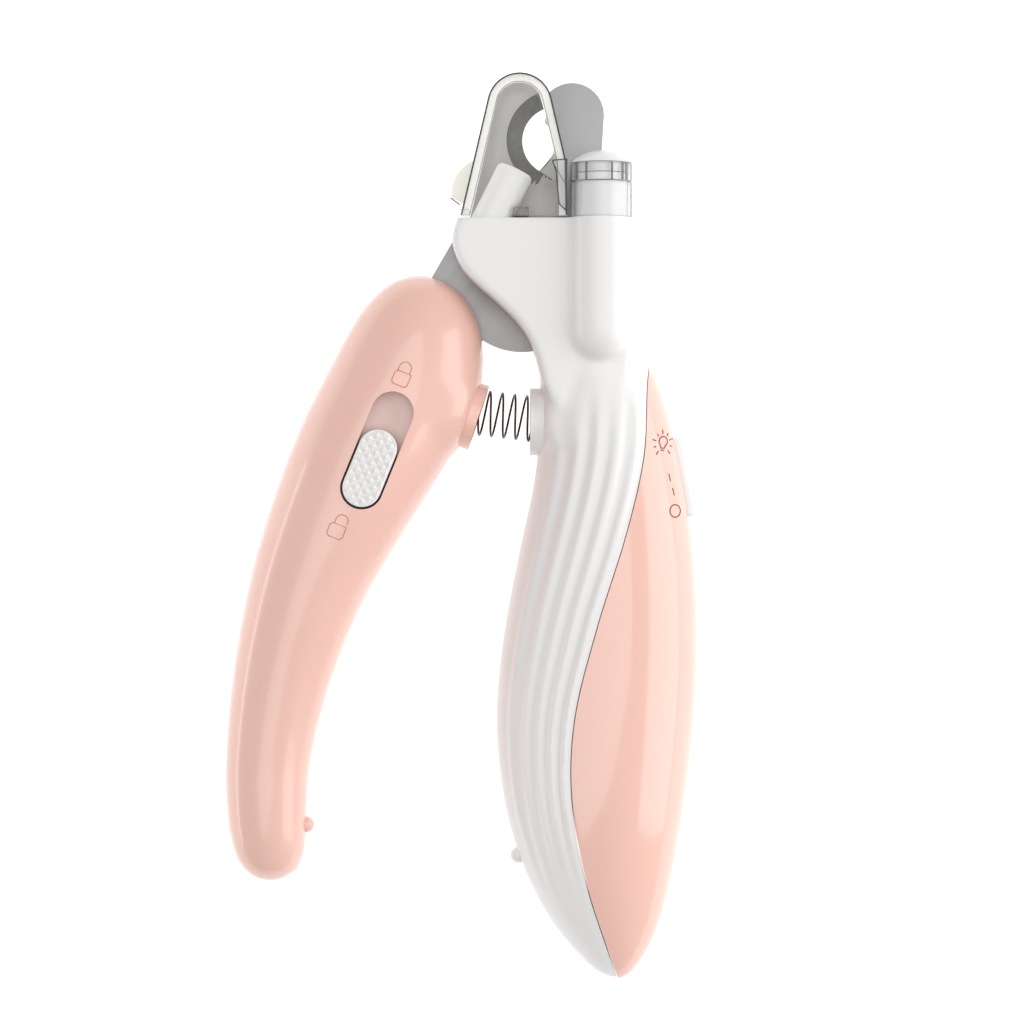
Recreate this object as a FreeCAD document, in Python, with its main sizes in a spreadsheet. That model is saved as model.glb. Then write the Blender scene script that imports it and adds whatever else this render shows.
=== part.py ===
"""Scissor nail clipper with a lamp in its grip, a slide lock in its lever and a clear nail catcher.

The clipper lies on its back. X runs across the two handles, Y from their tips up to the blades,
and Z up out of the face that the clipper rests on. The origin is at the middle of its outline.
"""

import FreeCAD
import Part
import os
import re
from FreeCAD import Placement, Rotation, Vector

OUT = "parts"
ALONG_Z = Rotation()
ALONG_X = Rotation(Vector(0, 1, 0), 90)
ALONG_Y = Rotation(Vector(1, 0, 0), -90)
FAR = 100.0         # wider than the clipper, for boxes that split it

doc = FreeCAD.newDocument("nail_clipper")

# ---------------------------------------------------------------- driving sizes (mm, degrees)

SIZES = {
    # heights of the layers, from the rest face up
    "mid_height": 11.0,
    "lever_parting": 10.7,
    "head_back": 2.5,
    "head_front": 19.2,
    "slot_back": 8.6,
    "moving_back": 8.9,
    "fixed_back": 11.0,
    "blade_thick": 1.8,
    # shells
    "wall": 2.0,
    "head_round": 2.4,
    "head_top": 51.1,
    # hinge
    "pivot_x": 6.2,
    "pivot_y": 42.1,
    "pin_radius": 2.0,
    "bush_radius": 2.5,
    "blade_bore": 2.55,
    "pin_head_radius": 3.0,
    "pin_head_thick": 1.6,
    "pin_seat": 5.3,
    "nut_radius": 3.2,
    "nut_thick": 2.4,
    "sweep_radius": 14.4,
    # lamp barrel
    "barrel_x": 23.0,
    "barrel_z": 18.2,
    "barrel_radius": 5.1,
    "barrel_end_y": 32.7,
    "lamp_bore": 4.3,
    "lamp_bore_deep": 12.0,
    "core_radius": 4.25,
    "core_inner": 3.4,
    "sleeve_inner": 4.35,
    "sleeve_tall": 5.9,
    "ring_tall": 3.1,
    "ring_inner": 3.9,
    "dome_rise": 2.1,
    # tilted lamp
    "spot_radius": 3.1,
    "spot_bore": 2.3,
    "spot_tilt": 26.5,
    "spot_x": 4.95,
    "spot_z": 16.0,
    "spot_long": 12.6,
    "spot_sunk": 3.4,
    "led_radius": 1.5,
    # spring and its seats
    "seat_radius": 5.6,
    "seat_bore": 4.8,
    "grip_seat_x": 11.33,
    "grip_seat_y": 17.73,
    "grip_seat_deep": 5.0,
    "lever_seat_x": 2.78,
    "lever_seat_y": 18.4,
    "lever_seat_turn": -18.6,
    "lever_seat_deep": 5.5,
    "spring_radius": 3.6,
    "spring_inner": 3.1,
    # lock
    "lock_x": -13.75,
    "lock_y": 12.8,
    "lock_turn": -22.3,
    "lock_travel": 6.3,
    "slot_long": 20.3,
    "slot_wide": 7.0,
    "button_long": 13.4,
    "button_wide": 6.5,
    "button_top": 22.9,
    "tray_floor": 18.6,
    "tray_thick": 1.0,
    "tray_rim": 1.3,
    "stem_wide": 3.0,
    "stem_long": 3.0,
    "stem_shift": -3.4,
    "bolt_bottom": 14.0,
    "bolt_thick": 1.2,
    "bolt_wide": 4.0,
    # lamp switch
    "switch_x": 36.9,
    "switch_y": 8.5,
    "switch_turn": 10.05,
    "switch_travel": 3.0,
    "knob_long": 13.2,
    "knob_wide": 4.6,
    "knob_proud": 1.1,
    "knob_sunk": 3.3,
    "running_gap": 0.3,
    # battery bay
    "cell_radius": 5.8,
    "cell_thick": 5.4,
    "cell_x": 28.6,
    "cell_z": 9.4,
    "cell_top": -20.0,
    "contact_side": 8.0,
    "door_x": 22.4,
    "door_y": -45.1,
    "door_wide": 12.6,
    "door_long": 27.5,
    "seam_gap": 0.12,
    # screws
    "screw_head_radius": 1.9,
    "screw_head_thick": 1.4,
    "screw_radius": 1.1,
    "screw_long": 9.0,
    "screw_seat": 6.0,
    "screw_boss": 3.0,
    # nail catcher
    "catcher_back": 13.1,
    "catcher_front": 20.6,
    "catcher_face": 1.05,
    "tab_thick": 1.2,
    # stop nubs
    "nub_radius": 1.35,
}

# Stations down the handles: place along the handle, left edge, right edge, half depth.
GRIP_STATIONS = [
    (31.0, 13.0, 28.6, 7.8),
    (26.0, 13.0, 32.0, 8.6),
    (18.0, 13.0, 34.7, 9.6),
    (8.0, 12.0, 37.0, 10.5),
    (-5.3, 9.2, 38.8, 11.3),
    (-18.6, 6.8, 39.3, 11.6),
    (-31.9, 5.7, 38.7, 11.6),
    (-45.3, 7.0, 37.2, 11.0),
    (-55.3, 9.8, 35.5, 9.6),
    (-63.0, 13.4, 33.7, 7.8),
    (-68.6, 17.3, 31.7, 5.7),
    (-72.3, 20.7, 29.5, 3.5),
    (-74.1, 23.0, 27.9, 1.9),
    (-74.8, 24.8, 26.6, 0.8),
]
LEVER_STATIONS = [
    (42.0, -8.4, -5.8, 1.2),
    (41.1, -11.2, -3.2, 3.6),
    (39.0, -14.1, -0.2, 5.8),
    (35.6, -17.0, 2.1, 7.8),
    (31.4, -19.5, 3.3, 9.3),
    (24.7, -23.0, 3.2, 10.6),
    (18.1, -26.3, 1.0, 11.2),
    (9.7, -29.7, -3.3, 11.3),
    (-1.5, -33.4, -10.3, 10.5),
    (-11.9, -36.0, -16.3, 9.4),
    (-25.3, -38.2, -21.8, 7.9),
    (-38.6, -39.3, -25.2, 6.9),
    (-47.0, -39.1, -25.9, 6.5),
    (-53.0, -38.1, -26.2, 5.7),
    (-56.3, -36.6, -27.2, 4.4),
    (-58.0, -34.6, -29.2, 2.4),
    (-58.6, -32.7, -31.0, 0.8),
]
GRIP_HOLLOW = (2, 10)       # first and last station that the hollow reaches
LEVER_HOLLOW = (3, 13)

# The seam between the white shells and the outer cover, from the neck to the tip.
SEAM = [
    (31.6, 30.5), (30.7, 24.0), (30.0, 12.0), (27.0, -1.0), (22.3, -16.0),
    (18.6, -31.0), (18.1, -44.0), (20.6, -58.5), (24.4, -70.5), (26.6, -77.0),
]

GRIP_SCREWS = [(20.5, 22.5), (12.8, -20.0), (16.2, -56.0)]
LEVER_SCREWS = [(-14.9, 29.5), (-25.5, -9.0), (-32.5, -44.0)]
TANG_SCREWS = [(-3.0, 33.0), (-8.0, 34.5)]
BLADE_RIVETS = [(18.0, 35.0), (12.4, 48.6)]
NUBS = {"lever": (-25.95, -49.3), "grip": (9.42, -54.35)}

sheet = doc.addObject("Spreadsheet::Sheet", "sizes")


def fill_sheet():
    """Write every driving size into the sheet, one row each, under its alias."""
    rows = list(SIZES.items())
    for name, stations in (("grip", GRIP_STATIONS), ("lever", LEVER_STATIONS)):
        for number, station in enumerate(stations):
            for part, value in zip(("along", "left", "right", "depth"), station):
                rows.append((f"{name}_{part}_{number}", value))
    for row, (alias, value) in enumerate(rows, 1):
        sheet.set(f"A{row}", alias)
        sheet.set(f"B{row}", str(value))
        sheet.setAlias(f"B{row}", alias)
    doc.recompute()
    return {alias: float(sheet.get(alias)) for alias, value in rows}


SIZE = fill_sheet()     # the sheet's values, by alias


# ---------------------------------------------------------------- helpers

def sized(text):
    """An expression in which every alias points into the sheet."""
    return re.sub(r"[a-z][a-z0-9_]*", lambda m: f"sizes.{m[0]}" if m[0] in SIZE else m[0], str(text))


def bind(thing, **sizes):
    """Bind properties of an object to expressions of aliases."""
    for name, text in sizes.items():
        thing.setExpression(name, sized(text))
    return thing


def place(thing, spot, turn=ALONG_Z):
    """Turn an object, and bind the three coordinates of its place."""
    thing.Placement = Placement(Vector(), turn)
    for letter, text in zip("xyz", spot):
        thing.setExpression(f"Placement.Base.{letter}", sized(text))
    return thing


def cylinder(name, radius, height, spot, turn=ALONG_Z):
    thing = bind(doc.addObject("Part::Cylinder", name), Radius=radius, Height=height)
    return place(thing, spot, turn)


def box(name, size, corner):
    thing = doc.addObject("Part::Box", name)
    bind(thing, Length=size[0], Width=size[1], Height=size[2])
    return place(thing, corner)


def fuse(name, things):
    thing = doc.addObject("Part::MultiFuse", name)
    thing.Shapes = things
    thing.Refine = False
    return thing


def common(name, things):
    thing = doc.addObject("Part::MultiCommon", name)
    thing.Shapes = things
    thing.Refine = False
    return thing


def cut(name, base, tools):
    """Take the tools away from the base one after another, and check that something went."""
    rest = base
    for number, tool in enumerate(tools, 1):
        thing = doc.addObject("Part::Cut", name if number == len(tools) else f"{name}_step_{number}")
        thing.Base = rest
        thing.Tool = tool
        thing.Refine = False
        rest = thing
    doc.recompute()
    if rest.Shape.Volume > base.Shape.Volume - 1e-6:
        raise RuntimeError(f"{name}: the cut took nothing away")
    return rest


def gather(name, things):
    """Several like solids in one sub-part."""
    thing = doc.addObject("Part::Compound", name)
    thing.Links = things
    return thing


def tube(name, outer, inner, height, spot, turn=ALONG_Z):
    wall = cylinder(name + "_outside", outer, height, spot, turn)
    return cut(name, wall, [cylinder(name + "_inside", inner, height, spot, turn)])


def new_body(name):
    return doc.addObject("PartDesign::Body", name)


def sketch_on(body, role, name, offset="0"):
    """A sketch on one of the body's own origin planes, moved along the plane's normal."""
    sketch = body.newObject("Sketcher::SketchObject", name)
    plane = next(f for f in body.Origin.OriginFeatures if f.Role == role)
    sketch.AttachmentSupport = [(plane, "")]
    sketch.MapMode = "FlatFace"
    sketch.setExpression("AttachmentOffset.Base.z", sized(offset))
    return sketch


def pad(body, sketch, height, name, downward=False):
    feature = body.newObject("PartDesign::Pad", name)
    feature.Profile = sketch
    feature.Reversed = downward
    return bind(feature, Length=height)


def pocket(body, sketch, depth, name, upward=False):
    """A pocket that has to take material away."""
    doc.recompute()
    before = body.Shape.Volume
    feature = body.newObject("PartDesign::Pocket", name)
    feature.Profile = sketch
    feature.Reversed = upward
    bind(feature, Length=depth)
    doc.recompute()
    if body.Shape.Volume > before - 1e-6:
        raise RuntimeError(f"{name}: the pocket took nothing away")
    return feature


def outline(sketch, start, steps):
    """A closed outline: a step is (end,) for a line, (through, end) for an arc, longer for a curve."""
    here = Vector(*start, 0)
    for step in steps:
        points = [here] + [Vector(*point, 0) for point in step]
        if len(step) == 1:
            piece = Part.LineSegment(*points)
        elif len(step) == 2:
            piece = Part.Arc(*points)
        else:
            piece = Part.BSplineCurve()
            piece.interpolate(points)
        sketch.addGeometry(piece, False)
        here = points[-1]


def round_ended(sketch, length, width, grow=0.0):
    """A slot outline along the sketch's own Y, about its origin."""
    radius = width / 2 + grow
    straight = (length - width) / 2
    outline(sketch, (radius, straight), [
        ((0, straight + radius), (-radius, straight)),
        ((-radius, -straight),),
        ((0, -straight - radius), (radius, -straight)),
        ((radius, straight),),
    ])


def lock_frame(height="0", slide=0.0):
    """The lock's own frame: Y runs along the slot, towards the locked end."""
    turn = Rotation(Vector(0, 0, 1), SIZE["lock_turn"])
    middle = Vector(SIZE["lock_x"], SIZE["lock_y"], 0) + turn.multVec(Vector(0, slide, 0))
    return Placement(middle, turn)


def switch_frame():
    """The switch's own frame: X points out of the grip, Y along the slide, towards ON."""
    middle = Vector(SIZE["switch_x"], SIZE["switch_y"], SIZE["mid_height"])
    return Placement(middle, Rotation(Vector(0, 0, 1), SIZE["switch_turn"]))


# ---------------------------------------------------------------- handle forms

def handle_form(name, stations, first=0, last=None, wall="0"):
    """A loft through upright ellipses, each one wall inside its station's edges."""
    last = len(stations) - 1 if last is None else last
    rings = []
    for number in range(first, last + 1):
        left, right = f"{name}_left_{number}", f"{name}_right_{number}"
        ring = doc.addObject("Part::Ellipse", f"{name}_ring_{number}")
        bind(ring, MajorRadius=f"({right} - {left}) / 2 - {wall}", MinorRadius=f"{name}_depth_{number} - {wall}")
        spot = (f"({left} + {right}) / 2", f"{name}_along_{number}", "mid_height")
        rings.append(place(ring, spot, ALONG_Y))
    loft = doc.addObject("Part::Loft", f"{name}_hollow" if wall != "0" else f"{name}_form")
    loft.Sections = rings
    loft.Solid = True
    loft.Ruled = False
    return loft


grip_form = handle_form("grip", GRIP_STATIONS)
grip_hollow = handle_form("grip", GRIP_STATIONS, *GRIP_HOLLOW, wall="wall")
lever_form = handle_form("lever", LEVER_STATIONS)
lever_hollow = handle_form("lever", LEVER_STATIONS, *LEVER_HOLLOW, wall="wall")

HALF = FAR + 20
under_floor = box("under_floor", (2 * HALF, 2 * HALF, HALF), (-HALF, -HALF, -HALF))
grip_upper = box("grip_upper", (2 * HALF, 2 * HALF, HALF), (-HALF, -HALF, "mid_height"))
grip_lower = box("grip_lower", (2 * HALF, 2 * HALF, "mid_height"), (-HALF, -HALF, "0"))
lever_upper = box("lever_upper", (2 * HALF, 2 * HALF, HALF), (-HALF, -HALF, "lever_parting"))
lever_lower = box("lever_lower", (2 * HALF, 2 * HALF, "lever_parting"), (-HALF, -HALF, "0"))


# ---------------------------------------------------------------- blades

def blade(name, start, steps, back, bevel_spot, bevel_radii, bevel_back):
    """A hooked blade: a padded outline with its bore, and a conical bevel behind its edge."""
    body = new_body(name + "_blank")
    sketch = sketch_on(body, "XY_Plane", name + "_outline", back)
    outline(sketch, start, steps)
    pad(body, sketch, "blade_thick", name + "_plate")
    doc.recompute()
    bevel = doc.addObject("Part::Cone", name + "_bevel")
    bevel.Radius1, bevel.Radius2 = bevel_radii
    bind(bevel, Height="blade_thick - 0.2")
    place(bevel, (*bevel_spot, bevel_back))
    return body, bevel


FIXED_HOLLOW = (15.77, 64.48)       # centre of the hook's cutting arc
MOVING_HOLLOW = (10.17, 63.9)
EDGE_RADIUS = {"fixed": 5.73, "moving": 5.17}
BEVEL_RADIUS = {"fixed": 8.35, "moving": 7.0}

fixed_blank, fixed_bevel = blade(
    "fixed_blade", (5.75, 70.8),
    [
        ((9.5, 74.2), (13.0, 71.8)),
        ((13.6, 69.78),),
        ((10.04, 64.48), (12.5, 59.78)),
        ((14.8, 58.2),),
        ((17.2, 56.6),),
        ((17.2, 44.5),),
        ((21.0, 38.5),),
        ((20.5, 31.5),),
        ((14.0, 31.5),),
        ((9.4, 35.3),),
        ((6.5, 38.0),),
        ((3.2, 40.8),),
        ((1.3, 45.0),),
        ((1.3, 51.1),),
        ((5.75, 70.8),),
    ],
    "fixed_back", FIXED_HOLLOW, (EDGE_RADIUS["fixed"], BEVEL_RADIUS["fixed"]), "fixed_back + 0.2",
)
moving_blank, moving_bevel = blade(
    "moving_blade", (14.6, 72.7),
    [
        ((18.33, 74.23), (23.65, 68.6)),
        ((23.3, 63.07),),
        ((22.3, 56.4),),
        ((19.3, 51.1),),
        ((16.3, 44.4),),
        ((15.9, 38.1),),
        ((15.2, 33.2), (11.8, 29.57)),
        ((7.5, 29.7), (3.5, 31.4)),
        ((0.5, 28.6),),
        ((-9.0, 28.6),),
        ((-12.0, 31.5),),
        ((-11.5, 36.0),),
        ((-6.8, 38.8),),
        ((-1.7, 47.6),),
        ((0.0, 50.7),),
        ((6.0, 54.0),),
        ((12.7, 59.4),),
        ((15.34, 63.9), (13.8, 67.6)),
        ((14.6, 72.7),),
    ],
    "moving_back", MOVING_HOLLOW, (BEVEL_RADIUS["moving"], EDGE_RADIUS["moving"]), "moving_back",
)

pivot = ("pivot_x", "pivot_y")
rivets = [cylinder(f"blade_rivet_{n}", "screw_radius", "4", (x, y, "fixed_back"))
          for n, (x, y) in enumerate(BLADE_RIVETS, 1)]
pin_hole = cylinder("pin_hole", "pin_radius", "30", (*pivot, "-1"))
fixed_blade = cut("fixed_blade", fixed_blank, [fixed_bevel, pin_hole, *rivets])
bush_hole = cylinder("bush_hole", "blade_bore", "30", (*pivot, "-1"))
tang_screws = []
for n, (x, y) in enumerate(TANG_SCREWS, 1):
    head = cylinder(f"tang_head_{n}", "screw_head_radius", "1.3", (x, y, "lever_parting"))
    shank = cylinder(f"tang_shank_{n}", "screw_radius", "6.2", (x, y, "lever_parting - 6.2"))
    tang_screws.append(fuse(f"tang_screw_{n}", [head, shank]))
moving_blade = cut("moving_blade", moving_blank, [moving_bevel, bush_hole, *tang_screws])


# ---------------------------------------------------------------- hinge

pivot_shaft = cylinder("pivot_shaft", "pin_radius", "fixed_back + blade_thick + nut_thick - pin_seat",
                       (*pivot, "pin_seat"))
pivot_head = cylinder("pivot_head", "pin_head_radius", "pin_head_thick", (*pivot, "pin_seat - pin_head_thick"))
pivot_slot = box("pivot_slot", ("8", "0.9", "0.7"), ("pivot_x - 4", "pivot_y - 0.45", "pin_seat - pin_head_thick"))
pivot_screw = cut("pivot_screw", fuse("pivot_screw_blank", [pivot_shaft, pivot_head]), [pivot_slot])
pivot_bush = tube("pivot_bush", "bush_radius", "pin_radius", "fixed_back - slot_back", (*pivot, "slot_back"))
nut_blank = doc.addObject("Part::Prism", "nut_blank")
nut_blank.Polygon = 6
bind(nut_blank, Circumradius="nut_radius", Height="nut_thick")
place(nut_blank, (*pivot, "fixed_back + blade_thick"))
pivot_nut = cut("pivot_nut", nut_blank, [pin_hole])


# ---------------------------------------------------------------- lamp

def lamp_spot(along):
    """A point on the barrel's axis."""
    return ("barrel_x", along, "barrel_z")


barrel = cylinder("barrel", "barrel_radius", "head_top - barrel_end_y", lamp_spot("barrel_end_y"), ALONG_Y)
barrel_end = doc.addObject("Part::Sphere", "barrel_end")
bind(barrel_end, Radius="barrel_radius")
place(barrel_end, lamp_spot("barrel_end_y"))
lamp_bore = cylinder("lamp_bore_hole", "lamp_bore", "lamp_bore_deep + 1", lamp_spot("head_top - lamp_bore_deep"),
                     ALONG_Y)
lamp_board = cylinder("lamp_board", "core_radius", "1", lamp_spot("head_top - 5.1"), ALONG_Y)
led_base = cylinder("led_base", "2.5", "2", lamp_spot("head_top - 4.1"), ALONG_Y)
led_dome = doc.addObject("Part::Sphere", "led_dome")
led_dome.Radius = 1.9
place(led_dome, lamp_spot("head_top - 2.1"))
lamp_led = fuse("lamp_led", [led_base, led_dome])
lamp_core = tube("lamp_core", "core_radius", "core_inner", "4.1 + sleeve_tall", lamp_spot("head_top - 4.1"), ALONG_Y)
lamp_sleeve = tube("lamp_sleeve", "barrel_radius", "sleeve_inner", "sleeve_tall", lamp_spot("head_top"), ALONG_Y)
lamp_ring = tube("lamp_ring", "barrel_radius", "ring_inner", "ring_tall", lamp_spot("head_top + sleeve_tall"), ALONG_Y)


def diffuser():
    """A shallow dome with a spigot that stands in the ring."""
    rise, radius = SIZE["dome_rise"], SIZE["barrel_radius"]
    ball = doc.addObject("Part::Sphere", "dome_ball")
    ball.Radius = (radius ** 2 + rise ** 2) / (2 * rise)
    base = "head_top + sleeve_tall + ring_tall"
    place(ball, lamp_spot(f"{base} + dome_rise - {ball.Radius.Value}"))
    cap = common("dome_cap", [ball, cylinder("dome_keep", "barrel_radius", "10", lamp_spot(base), ALONG_Y)])
    spigot = cylinder("dome_spigot", "ring_inner", "2", lamp_spot(f"{base} - 2"), ALONG_Y)
    return fuse("lamp_diffuser", [cap, spigot])


lamp_diffuser = diffuser()

SPOT_TURN = Rotation(Vector(0, 0, 1), -SIZE["spot_tilt"]).multiply(ALONG_Y)


def on_spot(name, radius, height, along):
    """A cylinder on the tilted lamp's axis, starting at a distance above the head's top."""
    axis = SPOT_TURN.multVec(Vector(0, 0, 1))
    start = Vector(SIZE["spot_x"], SIZE["head_top"], SIZE["spot_z"]) + axis * along
    thing = bind(doc.addObject("Part::Cylinder", name), Radius=radius, Height=height)
    thing.Placement = Placement(start, SPOT_TURN)
    return thing


spot_outside = on_spot("spot_outside", "spot_radius", "spot_long", -SIZE["spot_sunk"])
spot_tube = cut("spot_tube", spot_outside, [on_spot("spot_hole", "spot_bore", "spot_long", 1.0 - SIZE["spot_sunk"])])
spot_led = fuse("spot_led", [
    on_spot("spot_led_base", "spot_bore", "1.5", 3.4),
    on_spot("spot_led_body", "led_radius", "2.8", 4.9),
])


# ---------------------------------------------------------------- grip

def head_form():
    """The flat head that carries the blades, with soft edges down both faces."""
    body = new_body("head_blank")
    sketch = sketch_on(body, "XY_Plane", "head_outline", "head_back")
    top = SIZE["head_top"]
    outline(sketch, (-0.7, top), [
        ((-1.6, 48.1), (-0.95, 45.1), (0.5, 42.4), (2.9, 40.0), (6.0, 37.3),
         (8.85, 34.5), (10.8, 31.9), (12.1, 29.0), (13.4, 24.0), (14.5, 19.0)),
        ((31.0, 19.0),),
        ((31.2, 27.4),),
        ((28.1, 33.5),),
        ((28.1, top),),
        ((-0.7, top),),
    ])
    slab = pad(body, sketch, "head_front - head_back", "head_slab")
    doc.recompute()
    faces = (SIZE["head_back"], SIZE["head_front"])
    soft = []
    for number, edge in enumerate(slab.Shape.Edges, 1):
        bounds = edge.BoundBox
        flat = bounds.ZLength < 1e-6 and min(abs(bounds.ZMin - z) for z in faces) < 1e-6
        if flat and bounds.XMin < 0.0 and bounds.YLength > 1e-6:
            soft.append(f"Edge{number}")
    fillet = body.newObject("PartDesign::Fillet", "head_soft_edges")
    fillet.Base = (slab, soft)
    bind(fillet, Radius="head_round")
    doc.recompute()
    return body


grip_seat_block = cylinder("grip_seat", "seat_radius", "7", ("grip_seat_x", "grip_seat_y", "mid_height"), ALONG_X)
grip_seat_bore = cylinder("grip_seat_hole", "seat_bore", "grip_seat_deep",
                          ("grip_seat_x", "grip_seat_y", "mid_height"), ALONG_X)
grip_outer = fuse("grip_outer", [grip_form, head_form(), barrel, barrel_end, grip_seat_block])

cover_zone = doc.addObject("Part::Feature", "cover_zone")
seam_curve = Part.BSplineCurve()
seam_curve.interpolate([Vector(x, y, 0) for x, y in SEAM])
seam_ends = [Vector(*SEAM[-1], 0), Vector(FAR, SEAM[-1][1], 0), Vector(FAR, SEAM[0][1], 0), Vector(*SEAM[0], 0)]
seam_wire = Part.Wire([seam_curve.toShape(), *Part.makePolygon(seam_ends).Edges])
cover_zone.Shape = Part.Face(seam_wire).extrude(Vector(0, 0, 2 * HALF))
cover_zone.Placement = Placement(Vector(0, 0, -HALF), ALONG_Z)

sweep_disc = cylinder("sweep_disc", "sweep_radius", "fixed_back - slot_back", (*pivot, "slot_back"))
sweep_jaws = box("sweep_jaws", ("30", "12", "fixed_back - slot_back"), ("-8", "40.3", "slot_back"))
nub = doc.addObject("Part::Sphere", "grip_nub")
bind(nub, Radius="nub_radius")
place(nub, (*NUBS["grip"], "mid_height"))


def screws(name, spots, first_height="screw_seat"):
    """Pan-head screws that enter from the back, as one group of solids."""
    made = []
    for n, (x, y) in enumerate(spots, 1):
        head = cylinder(f"{name}_head_{n}", "screw_head_radius", "screw_head_thick",
                        (x, y, f"{first_height} - screw_head_thick"))
        shank = cylinder(f"{name}_shank_{n}", "screw_radius", "screw_long", (x, y, first_height))
        made.append(fuse(f"{name}_{n}", [head, shank]))
    return made


def bosses(name, spots, bottom, height, form):
    """Pillars for the screws, trimmed to the handle's own surface."""
    pillars = [cylinder(f"{name}_{n}", "screw_boss", height, (x, y, bottom)) for n, (x, y) in enumerate(spots, 1)]
    return common(name + "_trimmed", [fuse(name + "_pillars", pillars), form])


def sinks(name, spots):
    """Holes from the back down to the screws' seats."""
    return [cylinder(f"{name}_{n}", "screw_head_radius + 0.2", "screw_seat + 1", (x, y, "-1"))
            for n, (x, y) in enumerate(spots, 1)]


grip_screws = screws("grip_screw", GRIP_SCREWS)
lever_screws = screws("lever_screw", LEVER_SCREWS)

white_zone = cut("white_zone", grip_outer, [cover_zone])
white_wall = cut("white_wall", white_zone, [grip_hollow])

front_bosses = bosses("front_boss", GRIP_SCREWS, "mid_height", "12", grip_form)
front_blank = fuse("front_blank", [common("front_half", [white_wall, grip_upper]), front_bosses,
                                   common("nub_front", [nub, grip_upper])])
grip_front_shell = cut("grip_front_shell", front_blank, [
    fixed_blank, nut_blank, *rivets, lamp_bore, spot_outside, grip_seat_bore, *grip_screws,
])

back_bosses = bosses("back_boss", GRIP_SCREWS, "0", "mid_height", grip_form)
back_blank = fuse("back_blank", [common("back_half", [white_wall, grip_lower]),
                                 common("back_pillars", [back_bosses, grip_lower]),
                                 common("nub_back", [nub, grip_lower])])
pivot_recess = cylinder("pivot_recess", "pin_head_radius + 0.1", "pin_seat + 1", (*pivot, "-1"))
grip_back_shell = cut("grip_back_shell", back_blank, [
    sweep_disc, sweep_jaws, pin_hole, pivot_recess, grip_seat_bore, *grip_screws, *sinks("grip_sink", GRIP_SCREWS),
])


# ---------------------------------------------------------------- outer cover, switch and battery door

def door_prism(name, grow):
    """A block with rounded corners that cuts the door's outline out of the cover."""
    body = new_body(name)
    sketch = sketch_on(body, "XY_Plane", name + "_outline", "-1")
    x0, y0 = SIZE["door_x"] - grow, SIZE["door_y"] - grow
    x1, y1 = x0 + SIZE["door_wide"] + 2 * grow, y0 + SIZE["door_long"] + 2 * grow
    r = 2.0 + grow
    cut_in = r * (1 - 0.5 ** 0.5)
    outline(sketch, (x0 + r, y0), [
        ((x1 - r, y0),), ((x1 - cut_in, y0 + cut_in), (x1, y0 + r)),
        ((x1, y1 - r),), ((x1 - cut_in, y1 - cut_in), (x1 - r, y1)),
        ((x0 + r, y1),), ((x0 + cut_in, y1 - cut_in), (x0, y1 - r)),
        ((x0, y0 + r),), ((x0 + cut_in, y0 + cut_in), (x0 + r, y0)),
    ])
    pad(body, sketch, "8.6", name + "_block")
    return body


def in_switch(name, size, corner):
    """A box in the switch's own frame."""
    thing = doc.addObject("Part::Box", name)
    bind(thing, Length=size[0], Width=size[1], Height=size[2])
    thing.Placement = switch_frame().multiply(Placement(Vector(*corner), ALONG_Z))
    return thing


knob_half = SIZE["knob_long"] / 2
gap = SIZE["running_gap"]
knob_slot = in_switch("knob_slot", ("12", "knob_long + switch_travel + 2 * running_gap", "knob_wide + 2 * running_gap"),
                      (-6.0, -knob_half - gap, -SIZE["knob_wide"] / 2 - gap))
cover_wall = cut("cover_wall", common("cover_side", [grip_outer, cover_zone]), [grip_hollow, under_floor])
outer_cover = cut("outer_cover", cover_wall, [knob_slot, door_prism("door_opening", SIZE["seam_gap"])])

DOOR_SCREW = (28.6, -42.5)
door_head = cylinder("door_screw_head", "screw_head_radius", "0.8", (*DOOR_SCREW, "0.3"))
door_shank = cylinder("door_screw_shank", "screw_radius", "6", (*DOOR_SCREW, "1.1"))
door_screw = fuse("door_screw", [door_head, door_shank])
door_sink = cylinder("door_sink", "screw_head_radius + 0.2", "2.1", (*DOOR_SCREW, "-1"))
battery_door = cut("battery_door", common("door_blank", [cover_wall, door_prism("door_block", 0.0)]),
                   [door_screw, door_sink])

switch_body = in_switch("switch_body", ("5", "12", "6"), (-8.6, -4.5, -3.0))
circuit_board = in_switch("circuit_board", ("1", "23", "11"), (-9.6, -15.0, -5.5))


def knob():
    """The switch's thumb piece, with three grip ribs across its face."""
    body = new_body("switch_knob")
    sketch = sketch_on(body, "XZ_Plane", "knob_section")
    half, proud, sunk = SIZE["knob_wide"] / 2, SIZE["knob_proud"], SIZE["knob_sunk"]
    outline(sketch, (-sunk, -half), [
        ((proud - 0.5, -half),), ((proud, 0.0), (proud - 0.5, half)), ((-sunk, half),), ((-sunk, -half),),
    ])
    feature = pad(body, sketch, "knob_long", "knob_block")
    feature.Midplane = True
    body.Placement = switch_frame()
    return body


switch_knob = knob()


# ---------------------------------------------------------------- battery bay

def along_cell(distance):
    return ("cell_x", f"cell_top - ({distance})", "cell_z")


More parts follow.
